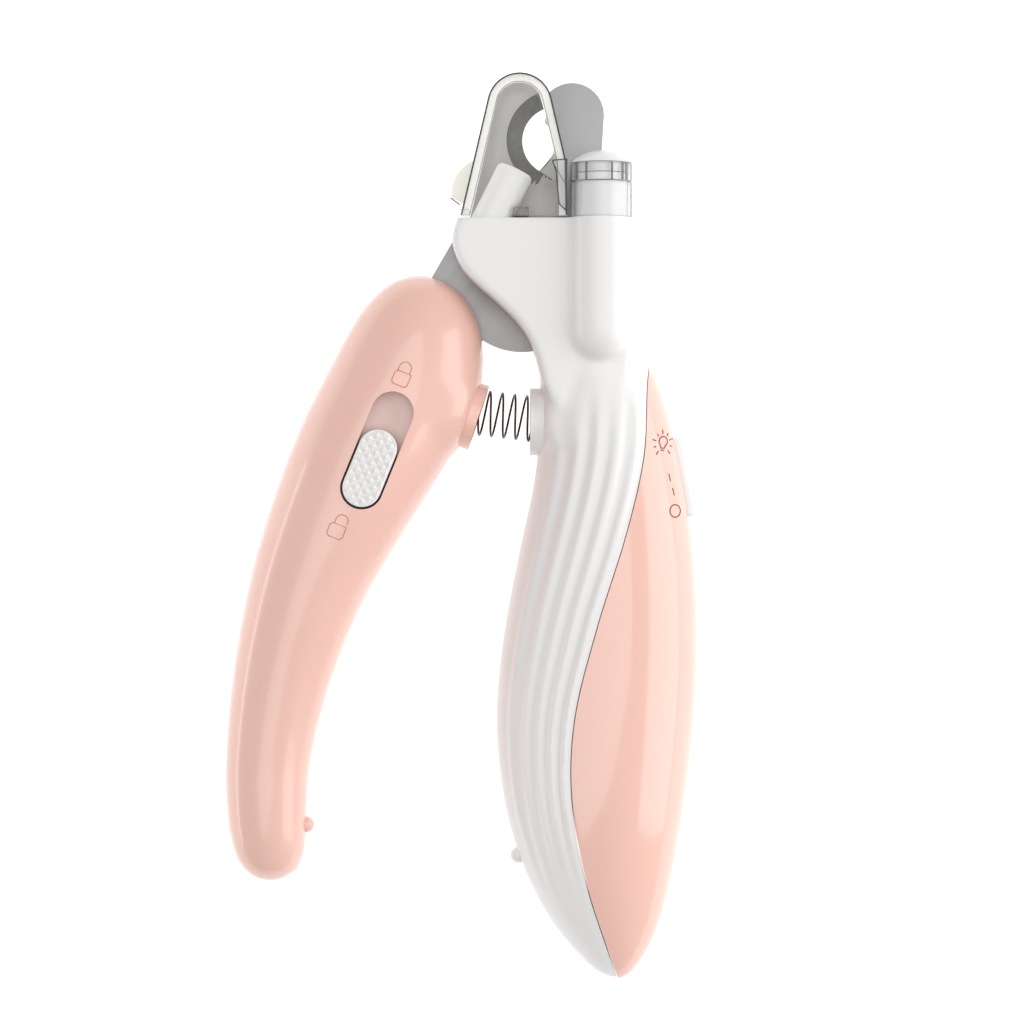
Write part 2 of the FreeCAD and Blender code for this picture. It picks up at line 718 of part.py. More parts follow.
cells = [cylinder(f"button_cell_{n + 1}", "cell_radius", "cell_thick", along_cell(f"{n + 1} * cell_thick"), ALONG_Y)
         for n in range(3)]
CONTACT = ("contact_side", "0.5", "contact_side")
contact_corner = ("cell_x - contact_side / 2", "cell_z - contact_side / 2")
contact_plate = box("contact_plate", CONTACT, (contact_corner[0], "cell_top", contact_corner[1]))
coil_outside = doc.addObject("Part::Cone", "contact_outside")
coil_outside.Radius1, coil_outside.Radius2, coil_outside.Height = 3.9, 2.4, 3.0
coil_inside = doc.addObject("Part::Cone", "contact_inside")
coil_inside.Radius1, coil_inside.Radius2, coil_inside.Height = 3.3, 1.8, 3.0
for cone in (coil_outside, coil_inside):
    place(cone, along_cell("3 * cell_thick + 3"), ALONG_Y)
coil_plate = box("contact_spring_plate", CONTACT,
                 (contact_corner[0], "cell_top - 3 * cell_thick - 3.5", contact_corner[1]))
contact_spring = fuse("contact_spring", [cut("contact_coil", coil_outside, [coil_inside]), coil_plate])

cradle_block = box("cradle_block", ("13.8", "26.4", "7"), ("cell_x - 6.9", "cell_top - 25", "2.4"))
ROOM = "3 * cell_thick + 4.3"
cell_room = cylinder("cell_room", "cell_radius + 0.15", ROOM, along_cell("3 * cell_thick + 3.6"), ALONG_Y)
door_way = box("door_way", ("2 * cell_radius + 0.3", ROOM, "7.4"),
               ("cell_x - cell_radius - 0.15", "cell_top - 3 * cell_thick - 3.6", "2"))
cell_cradle = cut("cell_cradle", common("cradle_blank", [cradle_block, grip_hollow]),
                  [cell_room, door_way, door_screw])


# ---------------------------------------------------------------- lever

SEAT_TURN = Rotation(Vector(0, 0, 1), SIZE["lever_seat_turn"])


def in_lever_seat(name, radius, length):
    """A cylinder that runs back from the face of the lever's spring seat."""
    face = Vector(SIZE["lever_seat_x"], SIZE["lever_seat_y"], SIZE["mid_height"])
    thing = bind(doc.addObject("Part::Cylinder", name), Radius=radius, Height=length)
    thing.Placement = Placement(face, SEAT_TURN.multiply(ALONG_X.inverted()))
    return thing


lever_outer = fuse("lever_outer", [lever_form, in_lever_seat("lever_seat", "seat_radius", "8.5")])
lever_hollow_cut = cut("lever_hollow_cut", lever_hollow, [in_lever_seat("lever_seat_keep", "seat_radius", "8.5")])
lever_wall = cut("lever_wall", lever_outer, [lever_hollow_cut])
lever_seat_bore = in_lever_seat("lever_seat_hole", "seat_bore", "lever_seat_deep")
lever_nub = doc.addObject("Part::Sphere", "lever_nub")
bind(lever_nub, Radius="nub_radius")
place(lever_nub, (*NUBS["lever"], "mid_height"))


def slot_block(name, length, width, bottom, height, grow=0.0, slide=0.0):
    """A round-ended block that stands in the lock's slot."""
    body = new_body(name)
    round_ended(sketch_on(body, "XY_Plane", name + "_outline", bottom), SIZE[length], SIZE[width], grow)
    pad(body, body.Group[0], height, name + "_block")
    body.Placement = lock_frame(slide=slide)
    return body


slot_opening = slot_block("slot_opening", "slot_long", "slot_wide", "tray_floor", "10")
lever_front_bosses = bosses("lever_front_boss", LEVER_SCREWS, "lever_parting", "12", lever_form)
lever_front_blank = fuse("lever_front_blank", [common("lever_front_half", [lever_wall, lever_upper]),
                                               lever_front_bosses, common("lever_nub_front", [lever_nub, lever_upper])])
lever_front_shell = cut("lever_front_shell", lever_front_blank, [
    slot_opening, lever_seat_bore, *tang_screws, *lever_screws,
])
lever_back_bosses = bosses("lever_back_boss", LEVER_SCREWS + TANG_SCREWS, "0", "lever_parting", lever_form)
lever_back_blank = fuse("lever_back_blank", [common("lever_back_half", [lever_wall, lever_lower]),
                                             common("lever_back_pillars", [lever_back_bosses, lever_lower]),
                                             common("lever_nub_back", [lever_nub, lever_lower])])
lever_back_shell = cut("lever_back_shell", lever_back_blank, [
    moving_blank, lever_seat_bore, *tang_screws, *lever_screws, *sinks("lever_sink", LEVER_SCREWS),
])


# ---------------------------------------------------------------- lock

tray_blank = slot_block("tray_blank", "slot_long", "slot_wide", "tray_floor - tray_thick", "5", SIZE["tray_rim"])
tray_trimmed = common("tray_trimmed", [tray_blank, lever_hollow])
tray_pocket = slot_block("tray_pocket", "slot_long", "slot_wide", "tray_floor", "10")
stem_way = doc.addObject("Part::Box", "stem_way")
bind(stem_way, Length="stem_wide + 2 * running_gap", Width="stem_long + lock_travel + 2 * running_gap", Height="4")
stem_way.Placement = lock_frame(slide=SIZE["stem_shift"]).multiply(Placement(Vector(
    -SIZE["stem_wide"] / 2 - gap, -(SIZE["stem_long"] + SIZE["lock_travel"]) / 2 - gap, SIZE["tray_floor"] - 2), ALONG_Z))
lock_tray = cut("lock_tray", tray_trimmed, [tray_pocket, stem_way])


def button():
    """The knurled thumb button, with the stem that reaches the bolt."""
    body = new_body("lock_button")
    face = sketch_on(body, "XY_Plane", "button_outline", "tray_floor + running_gap")
    round_ended(face, SIZE["button_long"], SIZE["button_wide"])
    pad(body, face, "button_top - tray_floor - running_gap", "button_block")
    stem = sketch_on(body, "XY_Plane", "stem_outline", "tray_floor + running_gap")
    wide = SIZE["stem_wide"] / 2
    low, high = SIZE["stem_shift"] - SIZE["stem_long"] / 2, SIZE["stem_shift"] + SIZE["stem_long"] / 2
    outline(stem, (-wide, low), [((wide, low),), ((wide, high),), ((-wide, high),), ((-wide, low),)])
    pad(body, stem, "tray_floor + running_gap - bolt_bottom - bolt_thick", "stem_block", downward=True)
    body.Placement = lock_frame(slide=-SIZE["lock_travel"] / 2)
    return body


def bolt():
    """The flat bar behind the button, with a pointed end towards the blades."""
    body = new_body("lock_bolt")
    sketch = sketch_on(body, "XY_Plane", "bolt_outline", "bolt_bottom")
    wide = SIZE["bolt_wide"] / 2
    outline(sketch, (-wide, -5.4), [
        ((wide, -5.4),), ((wide, 14.5),), ((0.8, 16.0),), ((-0.8, 16.0),), ((-wide, 14.5),), ((-wide, -5.4),),
    ])
    pad(body, sketch, "bolt_thick", "bolt_bar")
    body.Placement = lock_frame(slide=-SIZE["lock_travel"] / 2)
    return body


lock_button = button()
lock_bolt = bolt()
leaf_strip = doc.addObject("Part::Box", "leaf_strip")
leaf_strip.Length, leaf_strip.Width, leaf_strip.Height = 1.8, 15.0, 0.4
leaf_bead = doc.addObject("Part::Cylinder", "leaf_bead")
leaf_bead.Radius, leaf_bead.Height = 0.6, 1.8
leaf_bottom = SIZE["tray_floor"] - SIZE["tray_thick"] - 0.4
leaf_strip.Placement = lock_frame().multiply(Placement(Vector(2.3, -7.5, leaf_bottom), ALONG_Z))
leaf_bead.Placement = lock_frame().multiply(Placement(Vector(2.3, 0, leaf_bottom), ALONG_X))
leaf_blank = fuse("leaf_blank", [leaf_strip, leaf_bead])
detent_leaf = common("detent_leaf", [leaf_blank, box("leaf_keep", (2 * HALF, 2 * HALF, 20), (
    -HALF, -HALF, leaf_bottom + 0.4 - 20))])


# ---------------------------------------------------------------- return spring

def coil():
    """The room that the compression spring takes up between its two seats."""
    start, end = Vector(-1.5, 19.8, SIZE["mid_height"]), Vector(15.5, 17.75, SIZE["mid_height"])
    run = end - start
    turn = Rotation(Vector(0, 0, 1), run)
    made = []
    for name, radius in (("spring_outside", "spring_radius"), ("spring_inside", "spring_inner")):
        thing = bind(doc.addObject("Part::Cylinder", name), Radius=radius)
        thing.Height = run.Length
        thing.Placement = Placement(start, turn)
        made.append(thing)
    return cut("return_spring", made[0], made[1:])


return_spring = coil()


# ---------------------------------------------------------------- nail catcher

def catcher():
    """A clear chamber in front of the blades: open behind and below, with a thumb tab."""
    body = new_body("nail_catcher")
    outer = sketch_on(body, "XY_Plane", "catcher_outline", "catcher_back")
    outline(outer, (-0.1, 51.4), [
        ((4.38, 70.6),), ((9.6, 74.75), (14.81, 70.6)), ((17.2, 60.3),), ((17.4, 51.4),), ((-0.1, 51.4),),
    ])
    pad(body, outer, "catcher_front - catcher_back", "catcher_block")
    inner = sketch_on(body, "XY_Plane", "catcher_room", "catcher_back")
    outline(inner, (1.02, 50.0), [
        ((5.75, 70.28),), ((9.6, 73.35), (13.45, 70.28)), ((15.8, 60.1),), ((16.0, 50.0),), ((1.02, 50.0),),
    ])
    pocket(body, inner, "catcher_front - catcher_back - catcher_face", "catcher_chamber", upward=True)
    tab = sketch_on(body, "XY_Plane", "tab_outline", "catcher_back")
    outline(tab, (0.9, 53.4), [
        ((-1.6, 54.8),), ((-1.05, 58.2), (2.2, 61.0)), ((2.7, 60.8),), ((0.9, 53.4),),
    ])
    pad(body, tab, "tab_thick", "thumb_tab")
    return body


nail_catcher = catcher()


# ---------------------------------------------------------------- sub-parts

SUB_PARTS = {
    "grip_front_shell": grip_front_shell,
    "grip_back_shell": grip_back_shell,
    "outer_cover": outer_cover,
    "battery_door": battery_door,
    "door_screw": door_screw,
    "cell_cradle": cell_cradle,
    "contact_plate": contact_plate,
    "contact_spring": contact_spring,
    "circuit_board": circuit_board,
    "switch_body": switch_body,
    "switch_knob": switch_knob,
    "grip_screws": gather("grip_screws", grip_screws),
    "fixed_blade": fixed_blade,
    "blade_rivets": gather("blade_rivets", rivets),
    "pivot_screw": pivot_screw,
    "pivot_bush": pivot_bush,
    "pivot_nut": pivot_nut,
    "lamp_board": lamp_board,
    "lamp_led": lamp_led,
    "lamp_core": lamp_core,
    "lamp_sleeve": lamp_sleeve,
    "lamp_ring": lamp_ring,
    "lamp_diffuser": lamp_diffuser,
    "spot_tube": spot_tube,
    "spot_led": spot_led,
    "return_spring": return_spring,
    "nail_catcher": nail_catcher,
    "lever_front_shell": lever_front_shell,
    "lever_back_shell": lever_back_shell,
    "moving_blade": moving_blade,
    "tang_screws": gather("tang_screws", tang_screws),
    "lever_screws": gather("lever_screws", lever_screws),
    "lock_tray": lock_tray,
    "detent_leaf": detent_leaf,
    "lock_button": lock_button,
    "lock_bolt": lock_bolt,
}
for number, cell in enumerate(cells, 1):
    SUB_PARTS[f"button_cell_{number}"] = cell


def check_and_write():
    """Recompute, refuse anything that failed, and write one STEP file for each sub-part."""
    doc.recompute()
    for thing in doc.Objects:
        if {"Invalid", "Error"} & set(thing.State):
            raise RuntimeError(f"{thing.Name} failed: {thing.State}")
    os.makedirs(OUT, exist_ok=True)
    for name, thing in SUB_PARTS.items():
        thing.Label = name
        shape = thing.Shape
        if shape.isNull() or not shape.isValid() or not shape.Solids:
            raise RuntimeError(f"{name} has no valid solid")
        print(f"{name}: {len(shape.Solids)} solid(s), {shape.Volume:.1f} mm3")
        shape.exportStep(os.path.join(OUT, f"{name}.step"))


check_and_write()
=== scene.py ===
"""Looks of the scissor nail clipper: moulded skins, clear parts, lamps, knurl, spring and marks."""

import bisect
import math

import bmesh
import bpy
from mathutils import Matrix, Vector


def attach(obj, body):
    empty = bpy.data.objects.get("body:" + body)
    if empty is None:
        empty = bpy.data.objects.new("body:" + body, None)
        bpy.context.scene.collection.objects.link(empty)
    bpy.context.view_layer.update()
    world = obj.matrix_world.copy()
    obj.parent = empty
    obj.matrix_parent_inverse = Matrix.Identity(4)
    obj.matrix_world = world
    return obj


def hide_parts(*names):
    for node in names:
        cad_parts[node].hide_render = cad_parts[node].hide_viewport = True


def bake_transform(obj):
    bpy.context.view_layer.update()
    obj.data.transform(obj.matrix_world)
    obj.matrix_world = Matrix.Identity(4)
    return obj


bl_info = {
    "name": "Scissor Nail Clipper",
    "version": (1, 0, 0),
    "blender": (4, 5, 0),
    "location": "View3D > Sidebar > Clipper",
    "description": "Builds the visible pieces and finishes of a scissor nail clipper with a lamp",
    "category": "Object",
}

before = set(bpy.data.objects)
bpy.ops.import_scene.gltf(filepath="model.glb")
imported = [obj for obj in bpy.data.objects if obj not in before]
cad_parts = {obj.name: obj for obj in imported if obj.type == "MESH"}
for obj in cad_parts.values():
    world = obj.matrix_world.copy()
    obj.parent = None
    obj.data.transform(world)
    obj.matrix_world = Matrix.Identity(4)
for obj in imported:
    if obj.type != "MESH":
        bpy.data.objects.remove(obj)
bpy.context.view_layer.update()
MM = 0.001
MID = 11.0              # height of both handles' middle
LEVER_PARTING = 10.7
HEAD_TOP = 51.1
PIVOT = (6.2, 42.1)
FAR = 120.0             # reaches past the clipper on every side
GRIP_SEAT = (11.33, 17.73)      # middle of the face of each handle's spring seat
LEVER_SEAT = (2.78, 18.4)
LEVER_SEAT_TURN = -18.6         # degrees, of the lever's seat about Z
SEAT_RADIUS = 5.6
SEAT_BORE = 4.8
NUB_RADIUS = 1.35               # the stop nubs near both tips
CATCHER_FOOT = 51.4

# Down the handles: place along, left edge, right edge, half depth (mm).
GRIP_ROWS = [
    (38.0, 15.5, 26.5, 6.0), (34.5, 13.8, 27.6, 7.2),
    (31.0, 13.0, 28.6, 7.8), (26.0, 13.0, 32.0, 8.6), (18.0, 13.0, 34.7, 9.6), (8.0, 12.0, 37.0, 10.5),
    (-5.3, 9.2, 38.8, 11.3), (-18.6, 6.8, 39.3, 11.6), (-31.9, 5.7, 38.7, 11.6), (-45.3, 7.0, 37.2, 11.0),
    (-55.3, 9.8, 35.5, 9.6), (-63.0, 13.4, 33.7, 7.8), (-68.6, 17.3, 31.7, 5.7), (-72.3, 20.7, 29.5, 3.5),
    (-74.1, 23.0, 27.9, 1.9), (-74.8, 24.8, 26.6, 0.8),
]
LEVER_ROWS = [
    (42.0, -8.4, -5.8, 1.2), (41.1, -11.2, -3.2, 3.6), (39.0, -14.1, -0.2, 5.8), (35.6, -17.0, 2.1, 7.8),
    (31.4, -19.5, 3.3, 9.3), (24.7, -23.0, 3.2, 10.6), (18.1, -26.3, 1.0, 11.2), (9.7, -29.7, -3.3, 11.3),
    (-1.5, -33.4, -10.3, 10.5), (-11.9, -36.0, -16.3, 9.4), (-25.3, -38.2, -21.8, 7.9),
    (-38.6, -39.3, -25.2, 6.9), (-47.0, -39.1, -25.9, 6.5), (-53.0, -38.1, -26.2, 5.7),
    (-56.3, -36.6, -27.2, 4.4), (-58.0, -34.6, -29.2, 2.4), (-58.6, -32.7, -31.0, 0.8),
]
# The seam between the white grip and its pink cover: place along, place across.
SEAM_ROWS = [
    (30.5, 31.6), (24.0, 30.7), (12.0, 30.0), (-1.0, 27.0), (-16.0, 22.3),
    (-31.0, 18.6), (-44.0, 18.1), (-58.5, 20.6), (-70.5, 24.4), (-77.0, 26.6),
]
# The head's free edge, from its top left corner down into the neck.
HEAD_ROWS = [
    (56.0, 0.3), (51.1, -0.7), (48.1, -1.6), (45.1, -0.95), (42.4, 0.5), (40.0, 2.9), (37.3, 6.0),
    (34.5, 8.85), (31.9, 10.8), (29.0, 12.1), (24.0, 13.4),
]


def srgb(red, green, blue):
    """A colour as it looks on a screen, from 0 to 255, turned into the renderer's scale."""
    def linear(value):
        part = value / 255
        return part / 12.92 if part <= 0.04045 else ((part + 0.055) / 1.055) ** 2.4
    return linear(red), linear(green), linear(blue)


# ---------------------------------------------------------------- settings

class ClipperSizes(bpy.types.PropertyGroup):
    """Sizes of the small details."""
    seam_gap: bpy.props.FloatProperty(
        name="Seam Gap", description="Gap between the white grip and its cover", default=0.00014, unit="LENGTH")
    parting_gap: bpy.props.FloatProperty(
        name="Parting Gap", description="Gap between front and back shells", default=0.0001, unit="LENGTH")
    flute_depth: bpy.props.FloatProperty(
        name="Flute Depth", description="Half height of the grip's soft flutes", default=0.00026, unit="LENGTH")
    blend_size: bpy.props.FloatProperty(
        name="Blend Size", description="Cell that rounds the joins of head, barrel and neck",
        default=0.0004, unit="LENGTH")
    blend_passes: bpy.props.IntProperty(
        name="Blend Passes", description="Smoothing passes over those joins", default=16)
    knurl_pitch: bpy.props.FloatProperty(
        name="Knurl Pitch", description="Side of one pyramid on the lock button", default=0.00128, unit="LENGTH")
    knurl_height: bpy.props.FloatProperty(
        name="Knurl Height", description="Height of one pyramid", default=0.0007, unit="LENGTH")
    wire: bpy.props.FloatProperty(
        name="Spring Wire", description="Radius of the return spring's wire", default=0.00018, unit="LENGTH")
    coil: bpy.props.FloatProperty(
        name="Spring Coil", description="Radius of the return spring's turns", default=0.0037, unit="LENGTH")
    turns: bpy.props.FloatProperty(
        name="Spring Turns", description="Number of turns of the return spring", default=8.2)
    mark_line: bpy.props.FloatProperty(
        name="Mark Line", description="Half width of the lines of the marks", default=0.00008, unit="LENGTH")


class ClipperColours(bpy.types.PropertyGroup):
    """Colours of the main finishes."""
    white: bpy.props.FloatVectorProperty(
        name="White", description="Grip and head", subtype="COLOR", size=3, default=srgb(237, 235, 234))
    pink: bpy.props.FloatVectorProperty(
        name="Pink", description="Lever and grip cover", subtype="COLOR", size=3, default=srgb(243, 197, 183))
    mark: bpy.props.FloatVectorProperty(
        name="Mark", description="Lines of the lock marks", subtype="COLOR", size=3, default=srgb(214, 126, 108))
    lamp_mark: bpy.props.FloatVectorProperty(
        name="Lamp Mark", description="Lines of the lamp marks", subtype="COLOR", size=3, default=srgb(150, 60, 52))
    steel: bpy.props.FloatVectorProperty(
        name="Steel", description="Blades", subtype="COLOR", size=3, default=srgb(172, 172, 173))


class ClipperStage(bpy.types.PropertyGroup):
    """Camera and lights."""
    camera_height: bpy.props.FloatProperty(
        name="Camera Height", description="Height of the camera over the floor", default=0.594, unit="LENGTH")
    focal_length: bpy.props.FloatProperty(
        name="Focal Length", description="Lens in millimetres on a 36 mm sensor", default=123.05)
    key_power: bpy.props.FloatProperty(
        name="Key Power", description="Softbox on the grip's side, in watts", default=2.0)
    top_power: bpy.props.FloatProperty(
        name="Top Power", description="Wide overhead light, in watts", default=4.3)
    strip_power: bpy.props.FloatProperty(
        name="Strip Power", description="Narrow light on the lever's side, in watts", default=0.25)
    table_glow: bpy.props.FloatProperty(
        name="Table Glow", description="Light that the floor gives by itself, as a light table does", default=0.6)
    sky: bpy.props.FloatProperty(
        name="Sky", description="Strength of the even light from all round", default=0.4)


def sizes():
    return bpy.context.scene.clipper_sizes


def colours():
    return bpy.context.scene.clipper_colours


# ---------------------------------------------------------------- shader groups and finishes

def new_group(name, inputs, outputs):
    """An empty shader group with its sockets made."""
    group = bpy.data.node_groups.new(name, "ShaderNodeTree")
    for label, kind, value in inputs:
        group.interface.new_socket(label, in_out="INPUT", socket_type=kind).default_value = value
    for label, kind in outputs:
        group.interface.new_socket(label, in_out="OUTPUT", socket_type=kind)
    return group, group.nodes.new("NodeGroupInput"), group.nodes.new("NodeGroupOutput")


SURFACE_INPUTS = [
    ("Colour", "NodeSocketColor", (0.8, 0.8, 0.8, 1)),
    ("Shade", "NodeSocketColor", (0.7, 0.7, 0.7, 1)),
    ("Smooth", "NodeSocketFloat", 0.2),
    ("Rough", "NodeSocketFloat", 0.3),
    ("Scale", "NodeSocketFloat", 900.0),
    ("Relief", "NodeSocketFloat", 0.1),
]
SURFACE_OUTPUTS = [("Colour", "NodeSocketColor"), ("Roughness", "NodeSocketFloat"), ("Normal", "NodeSocketVector")]


def surface_group(name, stretch):
    """Uneven colour, gloss and relief. A stretch other than one draws them out into lines."""
    group, given, result = new_group(name, SURFACE_INPUTS, SURFACE_OUTPUTS)
    nodes, links = group.nodes, group.links
    where = nodes.new("ShaderNodeTexCoord")
    drawn = nodes.new("ShaderNodeMapping")
    drawn.inputs["Scale"].default_value = stretch
    broad, fine = nodes.new("ShaderNodeTexNoise"), nodes.new("ShaderNodeTexNoise")
    broad.inputs["Scale"].default_value = 60.0
    broad.inputs["Detail"].default_value = 3.0
    fine.inputs["Detail"].default_value = 4.0
    tint = nodes.new("ShaderNodeMix")
    tint.data_type = "RGBA"
    gloss = nodes.new("ShaderNodeMapRange")
    bump = nodes.new("ShaderNodeBump")
    bump.inputs["Distance"].default_value = 0.00004
    links.new(where.outputs["Object"], broad.inputs["Vector"])
    links.new(where.outputs["Object"], drawn.inputs["Vector"])
    links.new(drawn.outputs["Vector"], fine.inputs["Vector"])
    links.new(given.outputs["Scale"], fine.inputs["Scale"])
    links.new(broad.outputs["Fac"], tint.inputs["Factor"])
    links.new(given.outputs["Colour"], tint.inputs["A"])
    links.new(given.outputs["Shade"], tint.inputs["B"])
    links.new(fine.outputs["Fac"], gloss.inputs["Value"])
    links.new(given.outputs["Smooth"], gloss.inputs["To Min"])
    links.new(given.outputs["Rough"], gloss.inputs["To Max"])
    links.new(fine.outputs["Fac"], bump.inputs["Height"])
    links.new(given.outputs["Relief"], bump.inputs["Strength"])
    links.new(tint.outputs["Result"], result.inputs["Colour"])
    links.new(gloss.outputs["Result"], result.inputs["Roughness"])
    links.new(bump.outputs["Normal"], result.inputs["Normal"])
    return group


GROUPS = {}


def facing(nodes, links, first, last, low, high):
    """A value that runs from low, face on, to high at the rim of a shape."""
    weight, ramp = nodes.new("ShaderNodeLayerWeight"), nodes.new("ShaderNodeMapRange")
    for label, value in (("From Min", first), ("From Max", last), ("To Min", low), ("To Max", high)):
        ramp.inputs[label].default_value = value
    links.new(weight.outputs["Facing"], ramp.inputs["Value"])
    return ramp.outputs["Result"]


def finish(name, colour, gloss, shade=0.95, group="moulding", scale=900.0, relief=0.1, rim=None, clear=None,
           **sockets):
    """A material: one of the shared surfaces with its own values, and the shader's plain sockets.

    A rim colour is painted shade on a clear part's edges, darkest where the surface is seen edge on, and clear gives
    its opacity face on and at the rim."""
    stretches = {"moulding": (1, 1, 1), "grinding": (1, 0.06, 1)}
    if not GROUPS:
        for label, stretch in stretches.items():
            GROUPS[label] = surface_group(label, stretch)
    material = bpy.data.materials.new(name)
    material.use_nodes = True
    nodes, links = material.node_tree.nodes, material.node_tree.links
    shader = nodes["Principled BSDF"]
    surface = nodes.new("ShaderNodeGroup")
    surface.node_tree = GROUPS[group]
    surface.inputs["Colour"].default_value = (*colour, 1)
    surface.inputs["Shade"].default_value = (*(part * shade for part in colour), 1)
    surface.inputs["Smooth"].default_value = gloss * 0.85
    surface.inputs["Rough"].default_value = gloss * 1.15
    surface.inputs["Scale"].default_value = scale
    surface.inputs["Relief"].default_value = relief
    colour_out = surface.outputs["Colour"]
    # Painted shade: the colour runs to the dark rim colour where the surface turns edge on, as the dark outlines of
    # clear plastic.
    if rim:
        mixed = nodes.new("ShaderNodeMix")
        mixed.data_type = "RGBA"
        links.new(facing(nodes, links, 0.5, 0.82, 0.0, 1.0), mixed.inputs["Factor"])
        links.new(colour_out, mixed.inputs["A"])
        mixed.inputs["B"].default_value = (*rim, 1)
        colour_out = mixed.outputs["Result"]
    if clear:
        links.new(facing(nodes, links, 0.4, 0.8, *clear), shader.inputs["Alpha"])
    links.new(colour_out, shader.inputs["Base Color"])
    links.new(surface.outputs["Roughness"], shader.inputs["Roughness"])
    links.new(surface.outputs["Normal"], shader.inputs["Normal"])
    for label, value in sockets.items():
        shader.inputs[label.replace("_", " ")].default_value = value
    return material


MADE = {}


def material(name):
    """The named finish, made the first time it is asked for."""
    if name not in MADE:
        MADE[name] = FINISHES[name](name)
    return MADE[name]


FINISHES = {
    "white_shell": lambda n: finish(n, colours().white, 0.34, 0.985, relief=0.05),
    "pink_shell": lambda n: finish(n, colours().pink, 0.13, 0.97, relief=0.015, Coat_Weight=0.35, Coat_Roughness=0.04),
    "lever_pink": lambda n: finish(n, colours().pink, 0.26, 0.97, relief=0.02, Coat_Weight=0.4, Coat_Roughness=0.04),
    "tray_plastic": lambda n: finish(n, srgb(226, 203, 197), 0.4),
    "knob_plastic": lambda n: finish(n, srgb(244, 243, 242), 0.28),
    "inner_plastic": lambda n: finish(n, srgb(225, 224, 222), 0.5),
    # Dark plastic of the switch body, and also painted shadow: the dark plate under the lock button that shows as the
    # shadow line in its gap.
    "dark_plastic": lambda n: finish(n, srgb(38, 38, 40), 0.45),
    "reflector": lambda n: finish(n, srgb(240, 240, 239), 0.25),
    "milky_plastic": lambda n: finish(n, srgb(232, 231, 229), 0.3, relief=0.03),
    "glowing_plastic": lambda n: finish(n, srgb(236, 236, 235), 0.35, relief=0.02, Emission_Color=(1, 1, 1, 1),
                                        Emission_Strength=0.04),
    # The rim colours of the clear finishes below are painted shade on their edges, where they turn edge on.
    "clear_plastic": lambda n: finish(n, srgb(235, 236, 237), 0.05, 0.99, relief=0.0, rim=srgb(60, 60, 62),
                                      clear=(0.1, 0.9)),
    # Partly the dark catch's own tint, partly painted shade: the dark lines at the edges of the clear lamp ring and
    # catcher.
    "smoked_catch_and_painted_edge_shade": lambda n: finish(n, srgb(105, 105, 107), 0.1, 0.9, relief=0.0, rim=srgb(30, 30, 32),
                                       clear=(0.55, 1.0)),
    "face_clear": lambda n: finish(n, srgb(252, 249, 236), 0.05, 0.995, relief=0.0, clear=(0.06, 0.5)),
    "side_clear": lambda n: finish(n, srgb(240, 240, 238), 0.05, 0.99, relief=0.0, rim=srgb(150, 150, 150),
                                   clear=(0.16, 0.3)),
    # Painted light: the tops of the catcher's clear walls made bright, nearly opaque white, as light carried through
    # the wall.
    "wall_top_painted_light": lambda n: finish(n, srgb(252, 252, 250), 0.2, 0.99, relief=0.0, clear=(0.88, 0.95)),
    "tab_clear": lambda n: finish(n, srgb(252, 250, 238), 0.1, 0.99, relief=0.0, clear=(0.75, 0.8)),
    # Painted shade: near black for the dark outlines seen at the edges of the clear catcher, its tab and its bracket.
    "catcher_painted_edge_shade": lambda n: finish(n, srgb(34, 34, 35), 0.1, 0.9, relief=0.0),
    "led_lens": lambda n: finish(n, srgb(244, 240, 214), 0.12, IOR=1.5, Transmission_Weight=0.7),
    "blade_steel": lambda n: finish(n, colours().steel, 0.5, 0.98, "grinding", 2600.0, 0.06, Metallic=0.3),
    # Painted shade: a dark copy of the blade steel for the tilted bevel faces.
    "bevel_painted_shade_steel": lambda n: finish(n, srgb(66, 66, 66), 0.42, 0.94, "grinding", 2600.0, 0.02, Metallic=0.4),
    "screw_steel": lambda n: finish(n, srgb(200, 200, 202), 0.22, 0.93, "grinding", 1500.0, 0.1, Metallic=1.0),
    "spring_steel": lambda n: finish(n, srgb(58, 55, 54), 0.3, 0.8, "grinding", 1800.0, 0.1, Metallic=0.8),
    "contact_metal": lambda n: finish(n, srgb(205, 203, 198), 0.25, 0.9, "grinding", 1500.0, 0.1, Metallic=1.0),
    "cell_steel": lambda n: finish(n, srgb(214, 214, 212), 0.2, 0.92, "grinding", 1500.0, 0.1, Metallic=1.0),
    "bush_brass": lambda n: finish(n, srgb(205, 172, 110), 0.25, 0.9, "grinding", 1500.0, 0.1, Metallic=1.0),
    "board": lambda n: finish(n, srgb(34, 104, 66), 0.4, 0.8, scale=1400.0, relief=0.3),
    "lock_mark": lambda n: finish(n, colours().mark, 0.35, 0.9),
    "lamp_mark": lambda n: finish(n, colours().lamp_mark, 0.35, 0.85),
    "floor": lambda n: finish(n, (0.9, 0.9, 0.9), 0.9, 0.995, scale=40.0, relief=0.0, Specular_IOR_Level=0.0,
                              Emission_Color=(1, 1, 1, 1),
                              Emission_Strength=bpy.context.scene.clipper_stage.table_glow),
}


# ---------------------------------------------------------------- mesh helpers

def mm(x, y, z):
    return Vector((x, y, z)) * MM


def between(rows, place):
    """Values of a smooth curve through the rows, at a place along them."""
    rows = sorted(rows)
    number = bisect.bisect([row[0] for row in rows], place)
    number = min(max(number, 1), len(rows) - 1)
    low, high = rows[number - 1], rows[number]
    before, after = rows[max(number - 2, 0)], rows[min(number + 1, len(rows) - 1)]
    run = high[0] - low[0]
    t = (place - low[0]) / run
    values = []
    for here, there, last, following in zip(low[1:], high[1:], before[1:], after[1:]):
        leave = (there - last) / (high[0] - before[0]) * run
        arrive = (following - here) / (after[0] - low[0]) * run
        values.append(here * (1 + 2 * t) * (1 - t) ** 2 + leave * t * (1 - t) ** 2
                      + there * t * t * (3 - 2 * t) - arrive * t * t * (1 - t))
    return values


